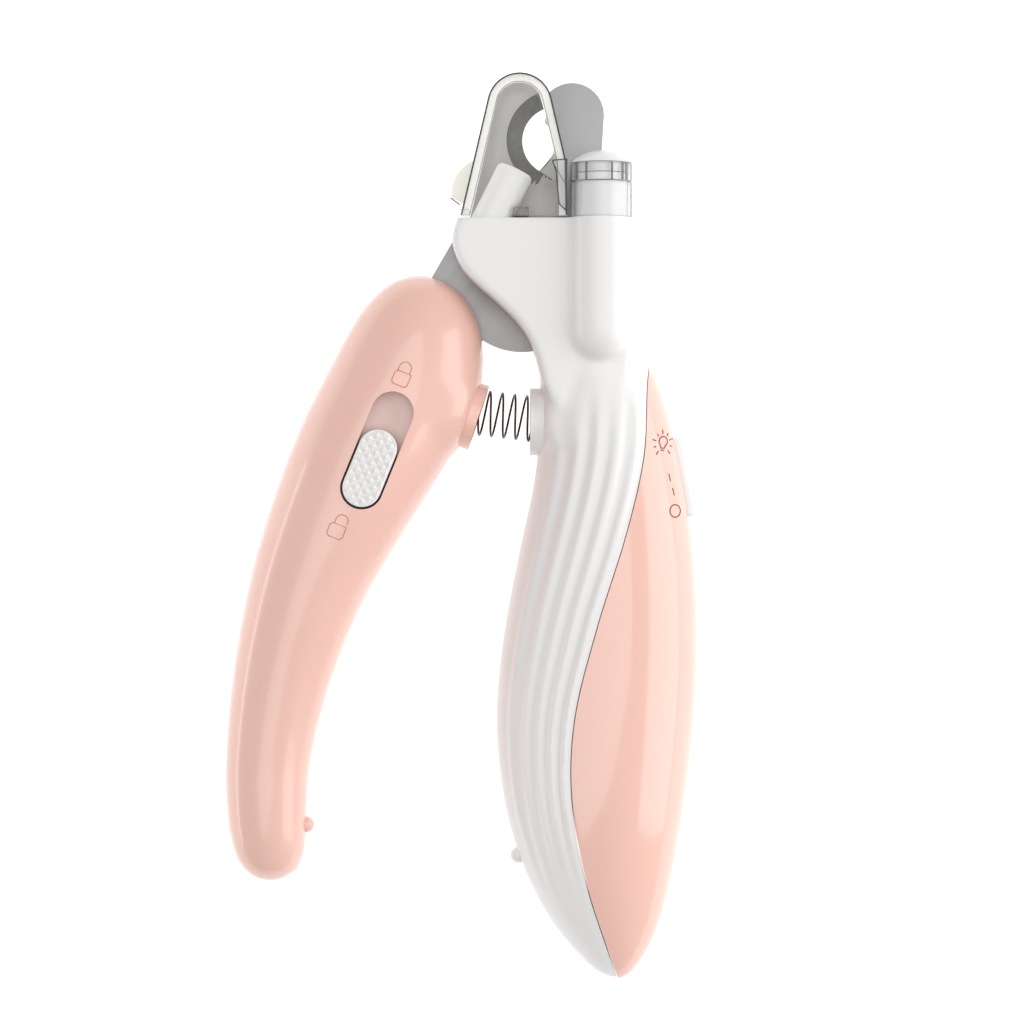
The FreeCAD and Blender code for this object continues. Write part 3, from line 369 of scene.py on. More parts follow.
def steps_along(rows, spacing):
    """Places along the rows, close together where the rows are."""
    places = []
    for high, low in zip(rows, rows[1:]):
        count = max(3, math.ceil((high[0] - low[0]) / spacing))
        places += [high[0] + (low[0] - high[0]) * n / count for n in range(count)]
    return places + [rows[-1][0]]


def ring_edges(ring):
    return list({edge for vertex in ring for edge in vertex.link_edges})


def loft(rows, inset=0.0, spacing=1.1, sides=112):
    """A closed handle: rings round its middle, bridged from one to the next."""
    bm = bmesh.new()
    loops = []
    for place in steps_along(rows, spacing):
        left, right, depth = between(rows, place)
        size = Matrix.Diagonal(((right - left) / 2 - inset, depth - inset, 1, 1)) * MM
        turn = Matrix.Rotation(math.pi / 2, 4, "X")
        size[3][3] = 1
        where = Matrix.Translation(mm((left + right) / 2, place, MID)) @ turn @ size
        ring = bmesh.ops.create_circle(bm, segments=sides, radius=1.0, matrix=where)["verts"]
        loops.append(ring_edges(ring))
    for first, second in zip(loops, loops[1:]):
        bmesh.ops.bridge_loops(bm, edges=first + second)
    for end in (loops[0], loops[-1]):
        bmesh.ops.contextual_create(bm, geom=end)
    bmesh.ops.recalc_face_normals(bm, faces=bm.faces)
    return bm


def raised(bm, faces, height):
    """Flat faces extruded upwards into closed solids."""
    made = bmesh.ops.extrude_face_region(bm, geom=faces)["geom"]
    moved = [part for part in made if isinstance(part, bmesh.types.BMVert)]
    bmesh.ops.translate(bm, verts=moved, vec=mm(0, 0, height))
    bmesh.ops.recalc_face_normals(bm, faces=bm.faces)
    return bm


def prism(points, bottom, top):
    """An outline of (x, y) points raised from one height to another."""
    bm = bmesh.new()
    face = bm.faces.new([bm.verts.new(mm(x, y, bottom)) for x, y in points])
    return raised(bm, [face], top - bottom)


def cylinder(radius, start, end, sides=64):
    """A round bar from one point to another."""
    bm = bmesh.new()
    run = end - start
    where = Matrix.Translation((start + end) / 2) @ run.to_track_quat("Z", "Y").to_matrix().to_4x4()
    bmesh.ops.create_cone(bm, cap_ends=True, segments=sides, radius1=radius * MM, radius2=radius * MM,
                          depth=run.length, matrix=where)
    return bm


def ball(radius, centre):
    bm = bmesh.new()
    bmesh.ops.create_uvsphere(bm, u_segments=48, v_segments=32, radius=radius * MM, matrix=Matrix.Translation(centre))
    return bm


def turned(profile, start, axis, sides=96):
    """A profile of (radius, along) points spun once round an axis from a start point."""
    bm = bmesh.new()
    side = axis.orthogonal().normalized()
    points = [bm.verts.new(start + side * radius * MM + axis * along * MM) for radius, along in profile]
    edges = [bm.edges.new(pair) for pair in zip(points, points[1:])]
    bmesh.ops.spin(bm, geom=points + edges, cent=start, axis=axis, angle=math.tau, steps=sides, use_merge=True)
    bmesh.ops.remove_doubles(bm, verts=bm.verts, dist=1e-6)
    bmesh.ops.recalc_face_normals(bm, faces=bm.faces)
    return bm


def rounded_profile(radius, low, high, soft, steps=5):
    """Half of a solid bar's section, with both rims rounded."""
    points = [(0.0, low)]
    for n in range(steps + 1):
        a = math.pi / 2 * n / steps
        points.append((radius - soft + soft * math.sin(a), low + soft - soft * math.cos(a)))
    for n in range(steps + 1):
        a = math.pi / 2 * n / steps
        points.append((radius - soft + soft * math.cos(a), high - soft + soft * math.sin(a)))
    return points + [(0.0, high)]


def tube_profile(outer, inner, low, high, soft):
    """A tube's closed section, with small chamfers on its four rims."""
    return [
        (inner, low + soft), (inner + soft, low), (outer - soft, low), (outer, low + soft),
        (outer, high - soft), (outer - soft, high), (inner + soft, high), (inner, high - soft), (inner, low + soft),
    ]


def with_place(bm, place):
    bmesh.ops.transform(bm, matrix=place, verts=bm.verts)
    return bm


def joined(first, *others):
    """All the meshes in the first one, without merging them."""
    for other in others:
        mesh = bpy.data.meshes.new("part")
        other.to_mesh(mesh)
        other.free()
        first.from_mesh(mesh)
        bpy.data.meshes.remove(mesh)
    return first


def loose_object(bm):
    """A working object that holds a mesh until a modifier has been read."""
    mesh = bpy.data.meshes.new("work")
    bm.to_mesh(mesh)
    bm.free()
    thing = bpy.data.objects.new("work", mesh)
    bpy.context.scene.collection.objects.link(thing)
    return thing


def drop(thing):
    mesh = thing.data
    bpy.data.objects.remove(thing)
    bpy.data.meshes.remove(mesh)


def evaluated(thing):
    """A new bmesh of an object with its modifiers on, and the object removed."""
    bpy.context.view_layer.update()
    shape = thing.evaluated_get(bpy.context.evaluated_depsgraph_get())
    mesh = bpy.data.meshes.new_from_object(shape)
    bm = bmesh.new()
    bm.from_mesh(mesh)
    bpy.data.meshes.remove(mesh)
    drop(thing)
    return bm


def carve(bm, cutter, operation="DIFFERENCE"):
    """The mesh after a boolean with the cutter. Both are used up."""
    thing, tool = loose_object(bm), loose_object(cutter)
    change = thing.modifiers.new("carve", "BOOLEAN")
    change.operation = operation
    change.solver = "EXACT"
    change.object = tool
    result = evaluated(thing)
    drop(tool)
    if not result.faces:
        raise RuntimeError("a boolean left nothing")
    return result


def cut_away(bm, point, normal, inner=False):
    """Take away the side of a plane that its normal points to, or the other one, and give the cut's edges."""
    everything = list(bm.verts) + list(bm.edges) + list(bm.faces)
    cut = bmesh.ops.bisect_plane(bm, geom=everything, dist=1e-8, plane_co=point, plane_no=normal,
                                 clear_inner=inner, clear_outer=not inner)["geom_cut"]
    return [part for part in cut if isinstance(part, bmesh.types.BMEdge)]


def sliced(bm, height, keep_above):
    """The part of a mesh above or below a height, with its cut closed."""
    bmesh.ops.holes_fill(bm, edges=cut_away(bm, mm(0, 0, height), (0, 0, 1), keep_above))
    return bm


def rounded(bm, edges, width, segments=2, clamp=False):
    """Round some of a mesh's edges."""
    bmesh.ops.bevel(bm, geom=edges, offset=width * MM, affect="EDGES", segments=segments, profile=0.5,
                    material=-1, clamp_overlap=clamp)


def blended(bm):
    """Solids grown into one skin, with the joins between them rounded."""
    thing = loose_object(bm)
    remesh = thing.modifiers.new("blend", "REMESH")
    remesh.mode = "VOXEL"
    remesh.voxel_size = sizes().blend_size
    skin = evaluated(thing)
    for _ in range(sizes().blend_passes):
        bmesh.ops.smooth_vert(skin, verts=skin.verts, factor=0.5, use_axis_x=True, use_axis_y=True, use_axis_z=True)
    return skin


def show(name, bm, finish_name, body, replaces=(), sharp=30.0):
    """Turn a mesh into a finished piece that rides on a body, if it is given one."""
    mesh = bpy.data.meshes.new(name)
    bm.to_mesh(mesh)
    bm.free()
    mesh.materials.clear()
    mesh.materials.append(material(finish_name))
    mesh.polygons.foreach_set("material_index", [0] * len(mesh.polygons))
    mesh.polygons.foreach_set("use_smooth", [True] * len(mesh.polygons))
    mesh.set_sharp_from_angle(angle=math.radians(sharp))
    thing = bpy.data.objects.new(name, mesh)
    bpy.context.scene.collection.objects.link(thing)
    if body:
        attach(thing, body)
    if replaces:
        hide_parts(*replaces)
    return thing


def node_copy(node):
    """A CAD node's mesh with its loose triangles merged and its flat faces whole."""
    bm = bmesh.new()
    bm.from_mesh(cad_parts[node].data)
    bmesh.ops.remove_doubles(bm, verts=bm.verts, dist=1e-6)
    bmesh.ops.dissolve_limit(bm, angle_limit=math.radians(0.5), verts=bm.verts, edges=bm.edges)
    return bm


def softened(name, node, finish_name, body, width, sharp=40.0):
    """A CAD node's own shape with its edges rounded, as a piece that stands for it."""
    bm = node_copy(node)
    edges = [edge for edge in bm.edges
             if edge.is_manifold and edge.calc_face_angle() > math.radians(35)]
    rounded(bm, edges, width, clamp=True)
    return show(name, bm, finish_name, body, [node], sharp)


def coat_node(node, finish_name):
    """A CAD node that stays as it is, with its own finish."""
    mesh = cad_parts[node].data
    mesh.materials.clear()
    mesh.materials.append(material(finish_name))


# ---------------------------------------------------------------- forms shared by several pieces

def seam_prism(shift):
    """Everything on the cover's side of the seam, moved across by a shift."""
    places = steps_along(SEAM_ROWS, 1.0)
    line = [(between(SEAM_ROWS, place)[0] + shift, place) for place in places]
    return prism(line + [(FAR, SEAM_ROWS[-1][0]), (FAR, SEAM_ROWS[0][0])], -20.0, 40.0)


def slot_frame(slide=0.0):
    """The lock's frame: Y along its slot, towards the locked end."""
    turn = Matrix.Rotation(math.radians(-22.3), 4, "Z")
    return Matrix.Translation(mm(-13.75, 12.8, 0)) @ turn @ Matrix.Translation(mm(0, slide, 0))


def switch_frame():
    """The switch's frame: X out of the grip, Y along its slide."""
    return Matrix.Translation(mm(36.9, 8.5, MID)) @ Matrix.Rotation(math.radians(10.05), 4, "Z")


def round_ended(length, width, bottom, top, steps=20):
    """A block with half-round ends, along Y about the origin."""
    radius, straight = width / 2, (length - width) / 2
    points = []
    for start, middle in ((0.0, straight), (math.pi, -straight)):
        for n in range(steps + 1):
            angle = start + math.pi * n / steps
            points.append((radius * math.cos(angle), middle + radius * math.sin(angle)))
    return prism(points, bottom, top)


def block(low, high):
    """A box between two corners."""
    bm = bmesh.new()
    centre = (Vector(low) + Vector(high)) / 2
    size = Matrix.Diagonal((*(Vector(high) - Vector(low)) * MM, 1))
    bmesh.ops.create_cube(bm, size=1.0, matrix=Matrix.Translation(centre * MM) @ size)
    return bm


def grip_flutes(bm):
    """Soft flutes down the white grip, fading out at the neck and at the tip."""
    depth = sizes().flute_depth
    first, last, period = 0.19, 0.91, 0.18
    bm.normal_update()
    for vertex in bm.verts:
        along = vertex.co.y / MM
        if not -70.0 < along < 26.0:
            continue
        left = between(GRIP_ROWS, along)[0]
        seam = between(SEAM_ROWS, along)[0]
        part = (vertex.co.x / MM - left) / (seam - left)
        if not first - 0.09 < part < last + 0.09:
            continue
        fade = min(1, max(0, (26.0 - along) / 16)) * min(1, max(0, (along + 66.0) / 26))
        fade = fade * fade * (3 - 2 * fade)
        rim = min(1, max(0, (part - first + 0.09) / 0.09)) * min(1, max(0, (last + 0.09 - part) / 0.09))
        wave = math.cos(math.tau * (part - first) / period)
        vertex.co += vertex.normal * depth * wave * fade * rim


def white_form():
    """Grip, neck, head and lamp barrel grown together, closed at the head's flat top."""
    places = steps_along(HEAD_ROWS, 0.8)
    free_edge = [(between(HEAD_ROWS, place)[0], place) for place in places]
    slab = prism(free_edge + [(15.0, 20.0), (25.5, 20.0), (28.1, 29.0), (28.1, 56.0)], 2.6, 19.1)
    rims = [edge for edge in slab.edges
            if abs(edge.verts[0].co.z - edge.verts[1].co.z) < 1e-7
            and max(vertex.co.y for vertex in edge.verts) < 0.056 - 1e-6]
    rounded(slab, rims, 2.2, 6, clamp=True)
    barrel = turned(
        [(0.0, 27.6)] + [(5.1 * math.sin(a), 32.7 - 5.1 * math.cos(a))
                         for a in (math.pi / 2 * n / 16 for n in range(1, 17))] + [(5.1, 56.0), (0.0, 56.0)],
        mm(23.0, 0, 18.2), Vector((0, 1, 0)))
    form = blended(joined(loft(GRIP_ROWS), slab, barrel))
    bmesh.ops.holes_fill(form, edges=cut_away(form, mm(0, HEAD_TOP, 0), (0, 1, 0)))
    grip_flutes(form)
    return form


def swell(bm, face, axis, radius, proud):
    """Push a handle's side out round a spring seat, so that only the seat's rim stands proud of it."""
    softness = 0.35
    for vertex in bm.verts:
        offset = (vertex.co - face) / MM
        behind = -offset.dot(axis)
        off_axis = (offset + axis * behind).length
        if off_axis > 14.0 or not -2.0 < behind < 9.0:
            continue
        target = proud + max(0.0, off_axis - radius) ** 2 * 0.28
        over = (behind - target) / softness
        push = softness * math.log1p(math.exp(min(over, 30.0))) if over < 30.0 else behind - target
        fade = min(1.0, max(0.0, (9.0 - behind) / 5.0))
        vertex.co += axis * push * fade * fade * (3 - 2 * fade) * MM


GRIP_SCREWS = [(20.5, 22.5), (12.8, -20.0), (16.2, -56.0)]
LEVER_SCREWS = [(-14.9, 29.5), (-25.5, -9.0), (-32.5, -44.0)]


def sinks(spots, top=6.0, radius=2.1):
    """Round holes from the back for sunk screw heads."""
    made = [cylinder(radius, mm(x, y, -2.0), mm(x, y, top), 40) for x, y in spots]
    return joined(*made)


# ---------------------------------------------------------------- grip

class CLIPPER_OT_grip(bpy.types.Operator):
    """White front and back of the grip, with its flutes, neck, head and lamp barrel"""
    bl_idname = "clipper.grip"
    bl_label = "White Grip"

    def execute(self, context):
        half_gap = sizes().seam_gap / MM / 2
        form = white_form()
        seat_face = mm(*GRIP_SEAT, MID)
        swell(form, seat_face, Vector((-1, 0, 0)), SEAT_RADIUS, 2.3)
        whole = carve(form, seam_prism(-half_gap))
        seat = turned(rounded_profile(SEAT_RADIUS, 0.0, 7.0, 0.15), seat_face, Vector((1, 0, 0)))
        nub = ball(NUB_RADIUS, mm(9.42, -54.35, MID))
        whole = carve(carve(whole, seat, "UNION"), nub, "UNION")
        whole = carve(whole, cylinder(SEAT_BORE, mm(8.0, GRIP_SEAT[1], MID), mm(16.4, GRIP_SEAT[1], MID)))
        back = whole.copy()
        gap = sizes().parting_gap / MM / 2
        front = sliced(whole, MID + gap, keep_above=True)
        show("grip_front", front, "white_shell", "grip", ["grip_front_shell"])
        back = sliced(sliced(back, MID - gap, keep_above=False), 0.0, keep_above=True)
        for cutter in (
            cylinder(14.4, mm(*PIVOT, 8.6), mm(*PIVOT, 12.0), 128),
            block((-8.0, 40.3, 8.6), (22.0, 53.0, 12.0)),
            joined(sinks(GRIP_SCREWS), sinks([PIVOT], 5.3, 3.1)),
        ):
            back = carve(back, cutter)
        show("grip_back", back, "white_shell", "grip", ["grip_back_shell"])
        return {"FINISHED"}


def door_outline(grow):
    """The battery door's rounded outline."""
    x0, y0, x1, y1 = 22.4 - grow, -45.1 - grow, 35.0 + grow, -17.6 + grow
    radius = 2.0 + grow
    points = []
    for x, y, start in ((x1 - radius, y0 + radius, 270), (x1 - radius, y1 - radius, 0),
                        (x0 + radius, y1 - radius, 90), (x0 + radius, y0 + radius, 180)):
        for n in range(9):
            angle = math.radians(start + 90 * n / 8)
            points.append((x + radius * math.cos(angle), y + radius * math.sin(angle)))
    return points


class CLIPPER_OT_cover(bpy.types.Operator):
    """Glossy cover on the grip's outer side, with the battery door in its back"""
    bl_idname = "clipper.cover"
    bl_label = "Outer Cover"

    def execute(self, context):
        half_gap = sizes().seam_gap / MM / 2
        skin = carve(loft(GRIP_ROWS[2:]), seam_prism(half_gap), "INTERSECT")
        skin = carve(skin, loft(GRIP_ROWS[4:12], inset=2.0, spacing=2.0, sides=64))
        skin = sliced(skin, 0.0, keep_above=True)
        door = carve(skin.copy(), prism(door_outline(0.0), -2.0, 7.6), "INTERSECT")
        door = carve(door, sinks([(28.6, -42.5)], 1.1))
        show("battery_door_skin", door, "pink_shell", "grip", ["battery_door"])
        skin = carve(skin, prism(door_outline(0.12), -2.0, 7.6))
        knob_slot = with_place(block((-6.0, -6.9, -2.6), (6.0, 9.9, 2.6)), switch_frame())
        skin = carve(skin, knob_slot)
        show("outer_cover_skin", skin, "pink_shell", "grip", ["outer_cover"])
        return {"FINISHED"}


# ---------------------------------------------------------------- lever and lock

def lever_seat(radius, start, end):
    """A bar along the axis of the lever's spring seat, measured back from its face."""
    axis = Matrix.Rotation(math.radians(LEVER_SEAT_TURN), 3, "Z") @ Vector((-1, 0, 0))
    face = mm(*LEVER_SEAT, MID)
    return cylinder(radius, face + axis * start * MM, face + axis * end * MM, 96)


class CLIPPER_OT_lever(bpy.types.Operator):
    """Pink front and back of the lever, with the lock's slot and the spring seat"""
    bl_idname = "clipper.lever"
    bl_label = "Lever"

    def execute(self, context):
        whole = loft(LEVER_ROWS)
        seat_axis = Matrix.Rotation(math.radians(LEVER_SEAT_TURN), 3, "Z") @ Vector((1, 0, 0))
        swell(whole, mm(*LEVER_SEAT, MID), seat_axis, SEAT_RADIUS, 1.7)
        whole = carve(whole, lever_seat(SEAT_RADIUS, 0.0, 9.0), "UNION")
        whole = carve(whole, lever_seat(SEAT_BORE, -1.0, 5.5))
        whole = carve(whole, ball(NUB_RADIUS, mm(-25.95, -49.3, MID)), "UNION")
        back = whole.copy()
        gap = sizes().parting_gap / MM / 2
        front = sliced(whole, LEVER_PARTING + gap, keep_above=True)
        front = carve(front, with_place(round_ended(20.3, 7.0, 17.0, 30.0, 32), slot_frame()))
        show("lever_front", front, "lever_pink", "lever", ["lever_front_shell"])
        back = sliced(sliced(back, LEVER_PARTING - gap, keep_above=False), 0.0, keep_above=True)
        back = carve(back, sinks(LEVER_SCREWS))
        show("lever_back", back, "lever_pink", "lever", ["lever_back_shell"])
        return {"FINISHED"}


def knurled_top(base, slide):
    """Pyramids in slanting rows, cut to the button's outline."""
    pitch, height = sizes().knurl_pitch, sizes().knurl_height
    count = 14
    bm = bmesh.new()
    bmesh.ops.create_grid(bm, x_segments=count, y_segments=count, size=pitch * count / 2)
    bmesh.ops.poke(bm, faces=bm.faces, offset=height)
    rim = [edge for edge in bm.edges if edge.is_boundary]
    sides = bmesh.ops.extrude_edge_only(bm, edges=rim)["geom"]
    lowered = [part for part in sides if isinstance(part, bmesh.types.BMVert)]
    bmesh.ops.translate(bm, verts=lowered, vec=(0, 0, -0.0008))
    bmesh.ops.holes_fill(bm, edges=[edge for edge in bm.edges if edge.is_boundary])
    bmesh.ops.recalc_face_normals(bm, faces=bm.faces)
    with_place(bm, Matrix.Translation((0, 0, base * MM)) @ Matrix.Rotation(math.pi / 4, 4, "Z"))
    return carve(bm, round_ended(12.8, 5.9, base - 3, base + 3, 24), "INTERSECT")


class CLIPPER_OT_lock(bpy.types.Operator):
    """Recess, knurled thumb button and bolt of the slide lock"""
    bl_idname = "clipper.lock"
    bl_label = "Lock"

    def execute(self, context):
        rest = slot_frame(-3.15)
        top = 22.9 - sizes().knurl_height / MM
        body = round_ended(13.2, 6.3, 18.9, top, 24)
        rims = [edge for edge in body.edges if min(vertex.co.z for vertex in edge.verts) > (top - 0.01) * MM]
        rounded(body, rims, 0.18, 3)
        stem = block((-1.5, -4.9, 15.2), (1.5, -1.9, 18.9))
        made = joined(body, stem, knurled_top(top, 0.0))
        show("lock_thumb_button", with_place(made, rest), "knob_plastic", "lock", ["lock_button"])
        # Painted shadow: a dark plate under the button, a little wider than it, that shows round its sides and lower
        # end as the shadow line in the gap.
        gap_shadow = with_place(round_ended(12.85, 6.9, 18.64, 18.86, 24), slot_frame(-3.62))
        stem_way = with_place(block((-1.6, -5.0, 18.0), (1.6, -1.8, 19.5)), rest)
        show("lock_gap_shadow_plate", carve(gap_shadow, stem_way), "dark_plastic", "lock")
        softened("lock_recess", "lock_tray", "tray_plastic", "lever", 0.08)
        softened("lock_bar", "lock_bolt", "blade_steel", "lock", 0.1)
        return {"FINISHED"}


# ---------------------------------------------------------------- blades, hinge and spring

class CLIPPER_OT_blades(bpy.types.Operator):
    """Both hooked blades, with ground bevels, and the hinge's screw"""
    bl_idname = "clipper.blades"
    bl_label = "Blades and Hinge"

    def execute(self, context):
        for name, node, body in (("upper_blade", "fixed_blade", "grip"), ("lower_blade", "moving_blade", "lever")):
            thing = softened(name, node, "blade_steel", body, 0.06)
            # Tilted faces near the tips get the dark copy of the steel, painted shade on the ground bevels.
            thing.data.materials.append(material("bevel_painted_shade_steel"))
            for face in thing.data.polygons:
                slope = abs(face.normal.z)
                if 0.25 < slope < 0.9 and face.center.y > 58 * MM and face.area > 5e-8:
                    face.material_index = 1
        softened("hinge_screw", "pivot_screw", "screw_steel", "grip", 0.2)
        softened("hinge_bush", "pivot_bush", "bush_brass", "grip", 0.1)
        softened("hinge_nut", "pivot_nut", "screw_steel", "grip", 0.15)
        return {"FINISHED"}


class CLIPPER_OT_spring(bpy.types.Operator):
    """Coiled return spring between the handles"""
    bl_idname = "clipper.spring"
    bl_label = "Return Spring"

    def execute(self, context):
        start, end = mm(-1.3, 19.75, MID), mm(15.4, 17.78, MID)
        axis = (end - start).normalized()
        side = Vector((0, 0, 1))
        per_turn = 48
        steps = int(sizes().turns * per_turn)
        bm = bmesh.new()
        tangent = (axis.cross(side) * math.tau * sizes().coil * sizes().turns + (end - start)).normalized()
        where = Matrix.Translation(start + side * sizes().coil) @ tangent.to_track_quat("Z", "Y").to_matrix().to_4x4()
        ring = bmesh.ops.create_circle(bm, segments=12, radius=sizes().wire, matrix=where)["verts"]
        bmesh.ops.spin(bm, geom=ring + ring_edges(ring), cent=start, axis=axis, dvec=(end - start) / steps,
                       angle=math.tau * sizes().turns, steps=steps, use_duplicate=False)
        bmesh.ops.holes_fill(bm, edges=[edge for edge in bm.edges if edge.is_boundary])
        bmesh.ops.recalc_face_normals(bm, faces=bm.faces)
        spring = show("coil_spring", bm, "spring_steel", None, ["return_spring"])
        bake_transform(spring)
        return {"FINISHED"}


# ---------------------------------------------------------------- lamps

LAMP = (23.0, 18.2)         # across and up, of the barrel's axis
# The posts at these angles are painted shade: thin dark bars where the clear ring's facets meet.
POST_ANGLES = (-59.2, -31.8, 20.1, 45.0, 58.5, 120.8, 148.2, 200.1, 225.0, 238.5)


def lamp_part(name, profile, finish_name, replaces, sharp=30.0):
    """A turned piece on the barrel's axis, measured up from the head's flat top."""
    bm = turned(profile, mm(LAMP[0], HEAD_TOP, LAMP[1]), Vector((0, 1, 0)), 128)
    return show(name, bm, finish_name, "grip", replaces, sharp)


def dome_profile(base, radius, rise, foot_radius, foot):
    """A shallow dome on a spigot."""
    ball_radius = (radius ** 2 + rise ** 2) / (2 * rise)
    low = base + rise - ball_radius
    limit = math.asin(radius / ball_radius)
    arc = [(ball_radius * math.sin(limit * n / 20), low + ball_radius * math.cos(limit * n / 20)) for n in range(21)]
    return arc + [(radius, base), (foot_radius, base), (foot_radius, foot), (0.0, foot)]


class CLIPPER_OT_lamp(bpy.types.Operator):
    """Work lamp at the end of the barrel: core, clear sleeve, windowed ring and milky dome"""
    bl_idname = "clipper.lamp"
    bl_label = "Work Lamp"

    def execute(self, context):
        lamp_part("lamp_inner_tube", tube_profile(4.3, 3.4, -4.1, 5.9, 0.1), "reflector", ["lamp_core"])
        lamp_part("lamp_clear_sleeve", tube_profile(5.1, 4.45, 0.05, 5.85, 0.12), "clear_plastic", ["lamp_sleeve"])
        lamp_part("lamp_window_ring", tube_profile(5.1, 4.5, 5.95, 8.9, 0.12), "clear_plastic", ["lamp_ring"])
        lamp_part("lamp_dome", dome_profile(9.0, 5.05, 2.1, 4.3, 7.4), "milky_plastic", ["lamp_diffuser"])
        # Painted shade: thin dark posts round the clear ring, for the dark lines at its facet edges.
        posts = []
        for turn in POST_ANGLES:
            angle = math.radians(turn)
            spot = mm(LAMP[0] + 4.8 * math.sin(angle), 0, LAMP[1] + 4.8 * math.cos(angle))
            post = block((-0.07, HEAD_TOP + 6.0, -0.25), (0.07, HEAD_TOP + 8.85, 0.25))
            posts.append(with_place(post, Matrix.Translation(spot) @ Matrix.Rotation(angle, 4, "Y")))
        show("lamp_window_painted_shade_posts", joined(*posts), "smoked_catch_and_painted_edge_shade", "grip")
        lamp_part("lamp_reflector_cup", tube_profile(4.25, 3.2, 6.0, 7.3, 0.1), "reflector", [])
        softened("lamp_light", "lamp_led", "led_lens", "grip", 0.1)
        coat_node("lamp_board", "board")
        return {"FINISHED"}


class CLIPPER_OT_spot(bpy.types.Operator):
    """Tilted small lamp behind the nail catcher"""
    bl_idname = "clipper.spot"
    bl_label = "Tilted Lamp"

    def execute(self, context):
        axis = Matrix.Rotation(math.radians(-26.5), 3, "Z") @ Vector((0, 1, 0))
        start = mm(4.95, HEAD_TOP, 16.0)
        body = turned(rounded_profile(3.1, -3.2, 9.15, 0.8), start, axis, 96)
        show("spot_lamp_tube", body, "glowing_plastic", "grip", ["spot_tube", "spot_led"])
        return {"FINISHED"}


# ---------------------------------------------------------------- catcher and switch

def bar(start, end, width, bottom, top):
    """A flat bar between two (x, y) points."""
    start, end = Vector(start), Vector(end)
    side = (end - start).orthogonal().normalized() * width / 2
    return prism([start - side, end - side, end + side, start + side], bottom, top)


def catcher_outline(bottom):
    """The catcher's outer line, from its lower left corner round its arched top."""
    right = [(17.2, 60.3), (17.4, CATCHER_FOOT)]
    if bottom < CATCHER_FOOT:
        right.append((17.4, bottom))
    return [(-0.1 - (CATCHER_FOOT - bottom) * 0.233, bottom)] + arc(9.595, 69.4, 5.352, 167, 13, 28) + right


def catcher_band(first, second, low, high):
    """A wall that follows the catcher's line between two insets, open towards the head."""
    bm = bmesh.new()
    face = bm.faces.new([bm.verts.new(mm(x, y, low)) for x, y in catcher_outline(47.0)])
    face.normal_update()
    if first:
        spare = bmesh.ops.inset_region(bm, faces=[face], thickness=first * MM, use_even_offset=True,
                                        use_boundary=True)["faces"]
        bmesh.ops.delete(bm, geom=spare, context="FACES")
        face.normal_update()
    bmesh.ops.inset_region(bm, faces=[face], thickness=(second - first) * MM, use_even_offset=True, use_boundary=True)
    bmesh.ops.delete(bm, geom=[face], context="FACES")
    cut_away(bm, mm(0, CATCHER_FOOT, 0), (0, -1, 0))
    return raised(bm, list(bm.faces), high - low)


def catcher_tab():
    """The thumb tab at the catcher's foot, left of its wall."""
    bm = sliced(node_copy("nail_catcher"), 14.32, keep_above=False)
    bmesh.ops.holes_fill(bm, edges=cut_away(bm, mm(-0.16, CATCHER_FOOT, 0), (19.2, -4.48, 0)))
    return bm


BRACKET = [(14.95, 60.3), (15.55, 58.4), (16.05, 53.2), (17.15, 52.1), (17.3, 60.5)]


class CLIPPER_OT_catcher(bpy.types.Operator):
    """Clear nail catcher with its thumb tab, side bracket and catches"""
    bl_idname = "clipper.catcher"
    bl_label = "Nail Catcher"

    def execute(self, context):
        wall, bottom, top = 1.5, 13.1, 20.6
        show("catcher_face", prism(catcher_outline(CATCHER_FOOT), top - 1.05, top), "face_clear", "catcher",
             ["nail_catcher"])
        sides = show("catcher_wall", catcher_band(0.0, wall, bottom, top - 1.07), "side_clear", "catcher",
                     ["nail_catcher"]).data
        sides.materials.append(material("wall_top_painted_light"))
        # Top faces of the wall get the painted light; the sides keep the clear finish with its painted edge shade.
        for face in sides.polygons:
            face.material_index = int(face.normal.z > 0.9)
        # Painted shade: a thin dark band along the catcher's outer outline.
        show("catcher_rim_painted_shade", catcher_band(0.0, 0.28, top + 0.02, top + 0.14), "catcher_painted_edge_shade", "catcher")
        # Painted shade: a dark line along the inner edge of the clear wall.
        show("catcher_inner_painted_shade", catcher_band(wall - 0.12, wall, top + 0.02, top + 0.08), "smoked_catch_and_painted_edge_shade", "catcher")
        show("catcher_tab", catcher_tab(), "tab_clear", "catcher", ["nail_catcher"])
        # Painted shade: a dark line along the tab's edge.
        show("catcher_tab_painted_edge_shade", bar((-1.85, 54.75), (-0.3, 53.6), 0.2, 14.34, 14.46), "catcher_painted_edge_shade", "catcher")
        low, high = 20.65, 21.15
        show("catcher_bracket", prism(BRACKET, low, high), "clear_plastic", "catcher")
        # Painted shade: dark bars round the clear bracket's outline for its dark edges, and one more bar across it.
        edge_shade_bars = [bar(first, second, 0.2, high + 0.02, high + 0.14)
                      for first, second in zip(BRACKET, BRACKET[1:] + BRACKET[:1])]
        edge_shade_bars.append(bar((14.9, 60.1), (17.2, 56.2), 0.1, high + 0.16, high + 0.28))
        show("catcher_bracket_painted_edge_shade", joined(*edge_shade_bars), "catcher_painted_edge_shade", "catcher")
        catches = [block((8.6, 51.3, 16.0), (11.1, 52.9, 18.9)), block((-0.5, 51.3, 20.7), (1.4, 52.3, 21.3))]
        for catch in catches:
            rounded(catch, catch.edges, 0.15)
        show("catcher_middle_catch", catches[0], "smoked_catch_and_painted_edge_shade", "catcher")
        show("catcher_side_catch", catches[1], "clear_plastic", "catcher")
        return {"FINISHED"}


